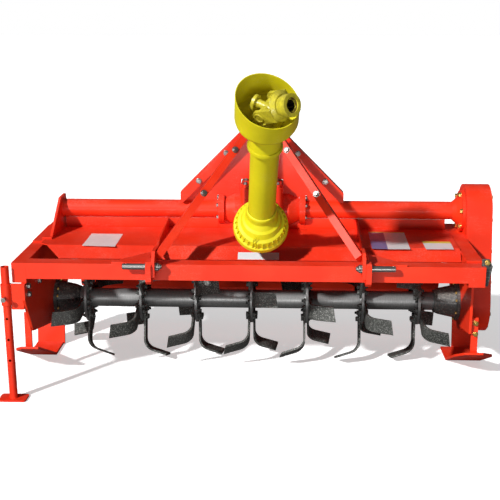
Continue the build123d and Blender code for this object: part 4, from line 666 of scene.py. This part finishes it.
hem_edge = [(board_y - 0.0002, lip_low - HEM_DROP), (board_y - 0.0012, lip_low - HEM_DROP - 0.0012),
            (board_y - 0.0022, lip_low - HEM_DROP - 0.0012), (board_y - 0.0032, lip_low - HEM_DROP)]
section = np.array(hem_arc(HEM_R, bend) + hem_edge + hem_arc(HEM_R - HEM_T, bend[::-1]))
stations = np.linspace(low("trailing_board")[0], high("trailing_board")[0], 25)
verts = np.concatenate([np.column_stack([np.full(len(section), x), section]) for x in stations])
faces = [f[::-1] for f in tube_faces(len(stations), len(section))]
dressed(mesh_object("board_hem", verts, faces, "board", 30), RED)

# ---------------------------------------------------------------- blank labels
# on the hood's flat top: corners (x, y) in order round each label
HOOD_LABELS = [
    ("label_hood_left", WHITE, ((-0.652, -0.054), (-0.524, -0.062), (-0.525, 0.129), (-0.652, 0.130))),
    ("label_hood_blue", BLUE, ((0.453, -0.058), (0.513, -0.062), (0.520, 0.188), (0.460, 0.188))),
    ("label_hood_right", WHITE, ((0.513, -0.062), (0.597, -0.061), (0.604, 0.188), (0.520, 0.188))),
    ("label_hood_line", LABEL_YELLOW, ((0.460, 0.1885), (0.604, 0.1885), (0.604, 0.199), (0.460, 0.199))),
    ("label_small_white", WHITE, ((0.656, -0.058), (0.761, -0.056), (0.7645, 0.030), (0.657, 0.032))),
    ("label_small_band", LABEL_YELLOW, ((0.657, 0.0325), (0.7645, 0.0305), (0.7650, 0.056), (0.657, 0.058))),
]
LABEL_T = 0.0004
for name, material, corners in HOOD_LABELS:
    dressed(slab(name, [(x, y, HOOD_Z) for x, y in corners], Z, LABEL_T, "frame"), material)

# on the slope in front of it: corners (x, share of the way up)
slope = np.array([0.0, -0.040, 0.049])
slope_foot, slope_head = np.array([0.0, F + 0.155, HOOD_Z - 0.040]), np.array([0.0, F + 0.204, HOOD_Z])
corners = [slope_foot * (1 - up) + slope_head * up + x * X
           for x, up in ((-0.054, 0.04), (0.102, 0.04), (0.102, 0.56), (-0.054, 0.56))]
dressed(slab("label_strip", corners, slope, LABEL_T, "frame"), WHITE)

# ---------------------------------------------------------------- drive shaft guard
BELL_TURN = math.radians(18.0)                 # rise of the shaft less the rise of the lower bell's rim axis


def on_bell(dist, r, share, angle):
    """Point and tangent on the bent bell: centre + d w + r (SIDE cos a + v sin a), w turned by share of its bend."""
    w = SHAFT * math.cos(BELL_TURN * share) - UP * math.sin(BELL_TURN * share)
    v = np.cross(w, SIDE)
    radial, tangent = SIDE * math.cos(angle) + v * math.sin(angle), -SIDE * math.sin(angle) + v * math.cos(angle)
    return LOWER + w * dist + radial * r, tangent


RIBS, RIB_HALF = 30, 0.0013
RIB_OUTLINE = ((0.025, 0.0905, 0.95), (0.042, 0.0845, 0.80), (0.042, 0.0900, 0.80), (0.025, 0.0965, 0.95))
BOX_FACES = ((0, 1, 2, 3), (7, 6, 5, 4), (0, 4, 5, 1), (1, 5, 6, 2), (2, 6, 7, 3), (3, 7, 4, 0))
verts, faces = [], []
for a in ring(RIBS, 0.0):
    corners = [on_bell(*row, a) for row in RIB_OUTLINE]
    faces += [[len(verts) + q for q in f] for f in BOX_FACES]
    verts += [p + tangent * sign * RIB_HALF for sign in (-1, 1) for p, tangent in corners]
dressed(mesh_object("bell_ribs", verts, faces, "pto_lower", 30), GUARD)

# two bent wires of the latch low on the bell: (distance, radius, share of the bend, swerve)
LATCH = ((0.008, 0.1005, 1.0, 0.0), (0.026, 0.0920, 0.95, 0.05),
         (0.044, 0.0850, 0.80, 0.0), (0.058, 0.0765, 0.45, 0.05))
latch = [[on_bell(dist, r + 0.0008, share, at - math.pi / 2 + swerve)[0] for dist, r, share, swerve in LATCH]
         for at in (-0.34, -0.22)]
dressed(bead("bell_latch", latch, 0.0016, "pto_lower", step=0.02), GUARD)


def lip(name, dist, profile, body):
    """Closed lip of a guard collar, its (r, h) rows turned about the shaft at a distance from the lower joint."""
    verts = turned([(r, h, 0) for r, h in profile], 72, [(LOWER + SHAFT * dist, SHAFT)])
    dressed(mesh_object(name, verts, tube_faces(len(profile), 72, wrap=True), body, 40), GUARD)


lip("lower_collar_lip", 0.092, [(0.0490, 0.0), (0.0565, -0.002), (0.0575, 0.004), (0.0545, 0.012), (0.0500, 0.014)],
    "pto_lower")
lip("upper_collar_lip", 0.4485, [(0.0565, 0.018), (0.0600, 0.004), (0.0585, 0.0), (0.0555, 0.002), (0.0562, 0.010)],
    "pto_upper")

# ---------------------------------------------------------------- splined hub
HUB_REACH, SPLINES = 0.116, 6
AROUND = 144
hub_end = UPPER + HUB_DIR * HUB_REACH
hub_angles = np.arange(AROUND) * 2 * math.pi / AROUND
land = 0.5 + 0.5 * np.tanh(9 * np.cos(SPLINES * hub_angles))
u, v, w = frames(-HUB_DIR, CROSS_UP)


def hub_rings(name, rows, material):
    """Closed ring inside the hub: e + r(a)(u cos a + v sin a) + h w for each row (r, h), h counted inwards."""
    spokes = np.cos(hub_angles)[:, None] * u + np.sin(hub_angles)[:, None] * v
    verts = np.concatenate([hub_end + np.full(AROUND, r)[:, None] * spokes + h * w for r, h in rows])
    faces = tube_faces(len(rows), AROUND, wrap=True)
    dressed(mesh_object(name, verts, faces, "pto_hub", 30), material)


inner = 0.0150 + 0.0024 * (1 - land)
hub_rings("hub_spline_lands", ((0.0174, 0.010), (0.0174, 0.052), (inner, 0.052), (inner, 0.010)), DARK_BORE)
notch = 0.0176 + 0.0030 * land
hub_rings("hub_mouth_face", ((notch, 0.0052), (0.0236, 0.0052), (0.0236, 0.0062), (notch, 0.0062)), RUST)

# bearing caps with a clip groove on the ears of each joint
CAP_SEAT = 0.0488
CAP = [(0.0165, -0.001, 0), (0.0170, 0.0022, 0), (0.0160, 0.0030, 0), (0.0135, 0.0030, 0), (0.0130, 0.0012, 0),
       (0.0105, 0.0012, 0), (0.0060, 0.0018, 0)]
for centre, axis, body in ((LOWER, X, "frame"), (LOWER, UP, "pto_lower"),
                           (UPPER, EAR_X, "pto_upper"), (UPPER, CROSS_UP, "pto_hub")):
    verts = turned(CAP, 28, [(centre + axis * way * CAP_SEAT, axis * way) for way in (-1, 1)])
    dressed(mesh_object("joint_caps_" + body, verts, tube_faces(len(CAP), 28, 2), body, 35), JOINT)

# ---------------------------------------------------------------- camera
cam_data = bpy.data.cameras.new("camera")
cam = bpy.data.objects.new("camera", cam_data)
bpy.context.scene.collection.objects.link(cam)
bpy.context.scene.camera = cam
CAMERA_AT = (HX + 0.0874, F - 3.2146, 1.478)
PITCH_DOWN, YAW_LEFT = math.radians(15.4713), math.radians(2.1051)
forward = Vector((-math.sin(YAW_LEFT) * math.cos(PITCH_DOWN), math.cos(YAW_LEFT) * math.cos(PITCH_DOWN),
                  -math.sin(PITCH_DOWN)))
cam.location = CAMERA_AT
cam.rotation_mode = "QUATERNION"
cam.rotation_quaternion = forward.to_track_quat("-Z", "Y")
cam_data.sensor_width = 36.0
cam_data.lens = 66.9
cam_data.clip_start, cam_data.clip_end = 0.1, 60

# ---------------------------------------------------------------- floor, light and white backdrop
FLOOR_HALF, FLOOR_Z, FLOOR_N = 30, -0.0005, 24
g = np.linspace(-FLOOR_HALF, FLOOR_HALF, FLOOR_N)
gx, gy = np.meshgrid(g, g, indexing="ij")
verts = np.stack([gx, gy, np.full_like(gx, FLOOR_Z)], -1).reshape(-1, 3)
i, j = np.meshgrid(np.arange(FLOOR_N - 1), np.arange(FLOOR_N - 1), indexing="ij")
corner = i * FLOOR_N + j
faces = np.stack([corner, corner + FLOOR_N, corner + FLOOR_N + 1, corner + 1], -1).reshape(-1, 4)
me = bpy.data.meshes.new("floor")
me.from_pydata(verts.tolist(), [], faces.tolist())
floor = bpy.data.objects.new("floor", me)
bpy.context.scene.collection.objects.link(floor)
# camera rays see a glowing near-white floor; all other rays meet a grey one that throws little light up
GLOW = 0.46
pale = bpy.data.materials.new("pale_floor")
pale.use_nodes = True
t = pale.node_tree
p = t.nodes["Principled BSDF"]
tc = node(t, "ShaderNodeTexCoord")
nz = node(t, "ShaderNodeTexNoise", {"Vector": tc.outputs["Object"], "Scale": 3.0})
col = mix_colour(t, ramp(t, nz.outputs[0], 0.2, 0.8), rgb(0.93, 0.93, 0.93), rgb(0.95, 0.95, 0.95))
seen = node(t, "ShaderNodeLightPath").outputs["Is Camera Ray"]
col = mix_colour(t, seen, rgb(0.14, 0.14, 0.14), col)
t.links.new(col, p.inputs["Base Color"])
p.inputs["Emission Color"].default_value = rgb(1.0, 1.0, 1.0)
t.links.new(math_node(t, "MULTIPLY", seen, GLOW), p.inputs["Emission Strength"])
p.inputs["Roughness"].default_value = 0.9
p.inputs["Specular IOR Level"].default_value = 0.1
floor.data.materials.append(pale)


def area(name, at, aim, size, watts, mirrored=True):
    """Rectangular light at one spot, turned to another and unseen by the camera; it may be kept out of reflections."""
    data = bpy.data.lights.new(name, "AREA")
    data.shape = "RECTANGLE"
    data.size, data.size_y = size
    data.energy = watts
    obj = bpy.data.objects.new(name, data)
    obj.location = at
    obj.rotation_euler = (Vector(aim) - Vector(at)).to_track_quat("-Z", "Y").to_euler()
    obj.visible_camera = False
    obj.visible_glossy = mirrored
    bpy.context.scene.collection.objects.link(obj)


SUN_WAY, SUN_POWER, SUN_ANGLE = (0.545, 0.650, -0.530), 4.5, math.radians(2.5)
sun_data = bpy.data.lights.new("key", "SUN")
sun_data.energy = SUN_POWER
sun_data.angle = SUN_ANGLE
sun = bpy.data.objects.new("key", sun_data)
sun.rotation_euler = Vector(SUN_WAY).to_track_quat("-Z", "Y").to_euler()
bpy.context.scene.collection.objects.link(sun)
area("right_panel", (2.6, -3.8, 1.6), (0.0, 0.0, 0.6), (2.6, 2.6), 5, mirrored=False)
area("low_panel", (-0.3, -3.3, 0.30), (0.0, 0.2, 0.27), (3.2, 0.30), 48)
area("back_panel", (0.8, 3.6, 1.5), (0.0, 0.0, 0.6), (3.0, 1.2), 22, mirrored=False)

SKY_LIGHT, BACKDROP = 0.10, 1.0
world = bpy.data.worlds.new("studio")
bpy.context.scene.world = world
world.use_nodes = True
t = world.node_tree
t.nodes.clear()
out = node(t, "ShaderNodeOutputWorld")
path = node(t, "ShaderNodeLightPath")
tc = node(t, "ShaderNodeTexCoord")
sep = node(t, "ShaderNodeSeparateXYZ", {0: tc.outputs["Generated"]})
sky = mix_colour(t, ramp(t, sep.outputs[2], 0.05, 0.85), rgb(0.12, 0.12, 0.13), rgb(0.92, 0.96, 1.0))
soft = node(t, "ShaderNodeBackground", {"Color": sky, "Strength": SKY_LIGHT})
white = node(t, "ShaderNodeBackground", {"Color": rgb(1.0, 1.0, 1.0), "Strength": BACKDROP})
mixer = node(t, "ShaderNodeMixShader", {0: path.outputs["Is Camera Ray"], 1: soft.outputs[0], 2: white.outputs[0]})
t.links.new(mixer.outputs[0], out.inputs[0])
bpy.context.scene.view_settings.view_transform = "Standard"
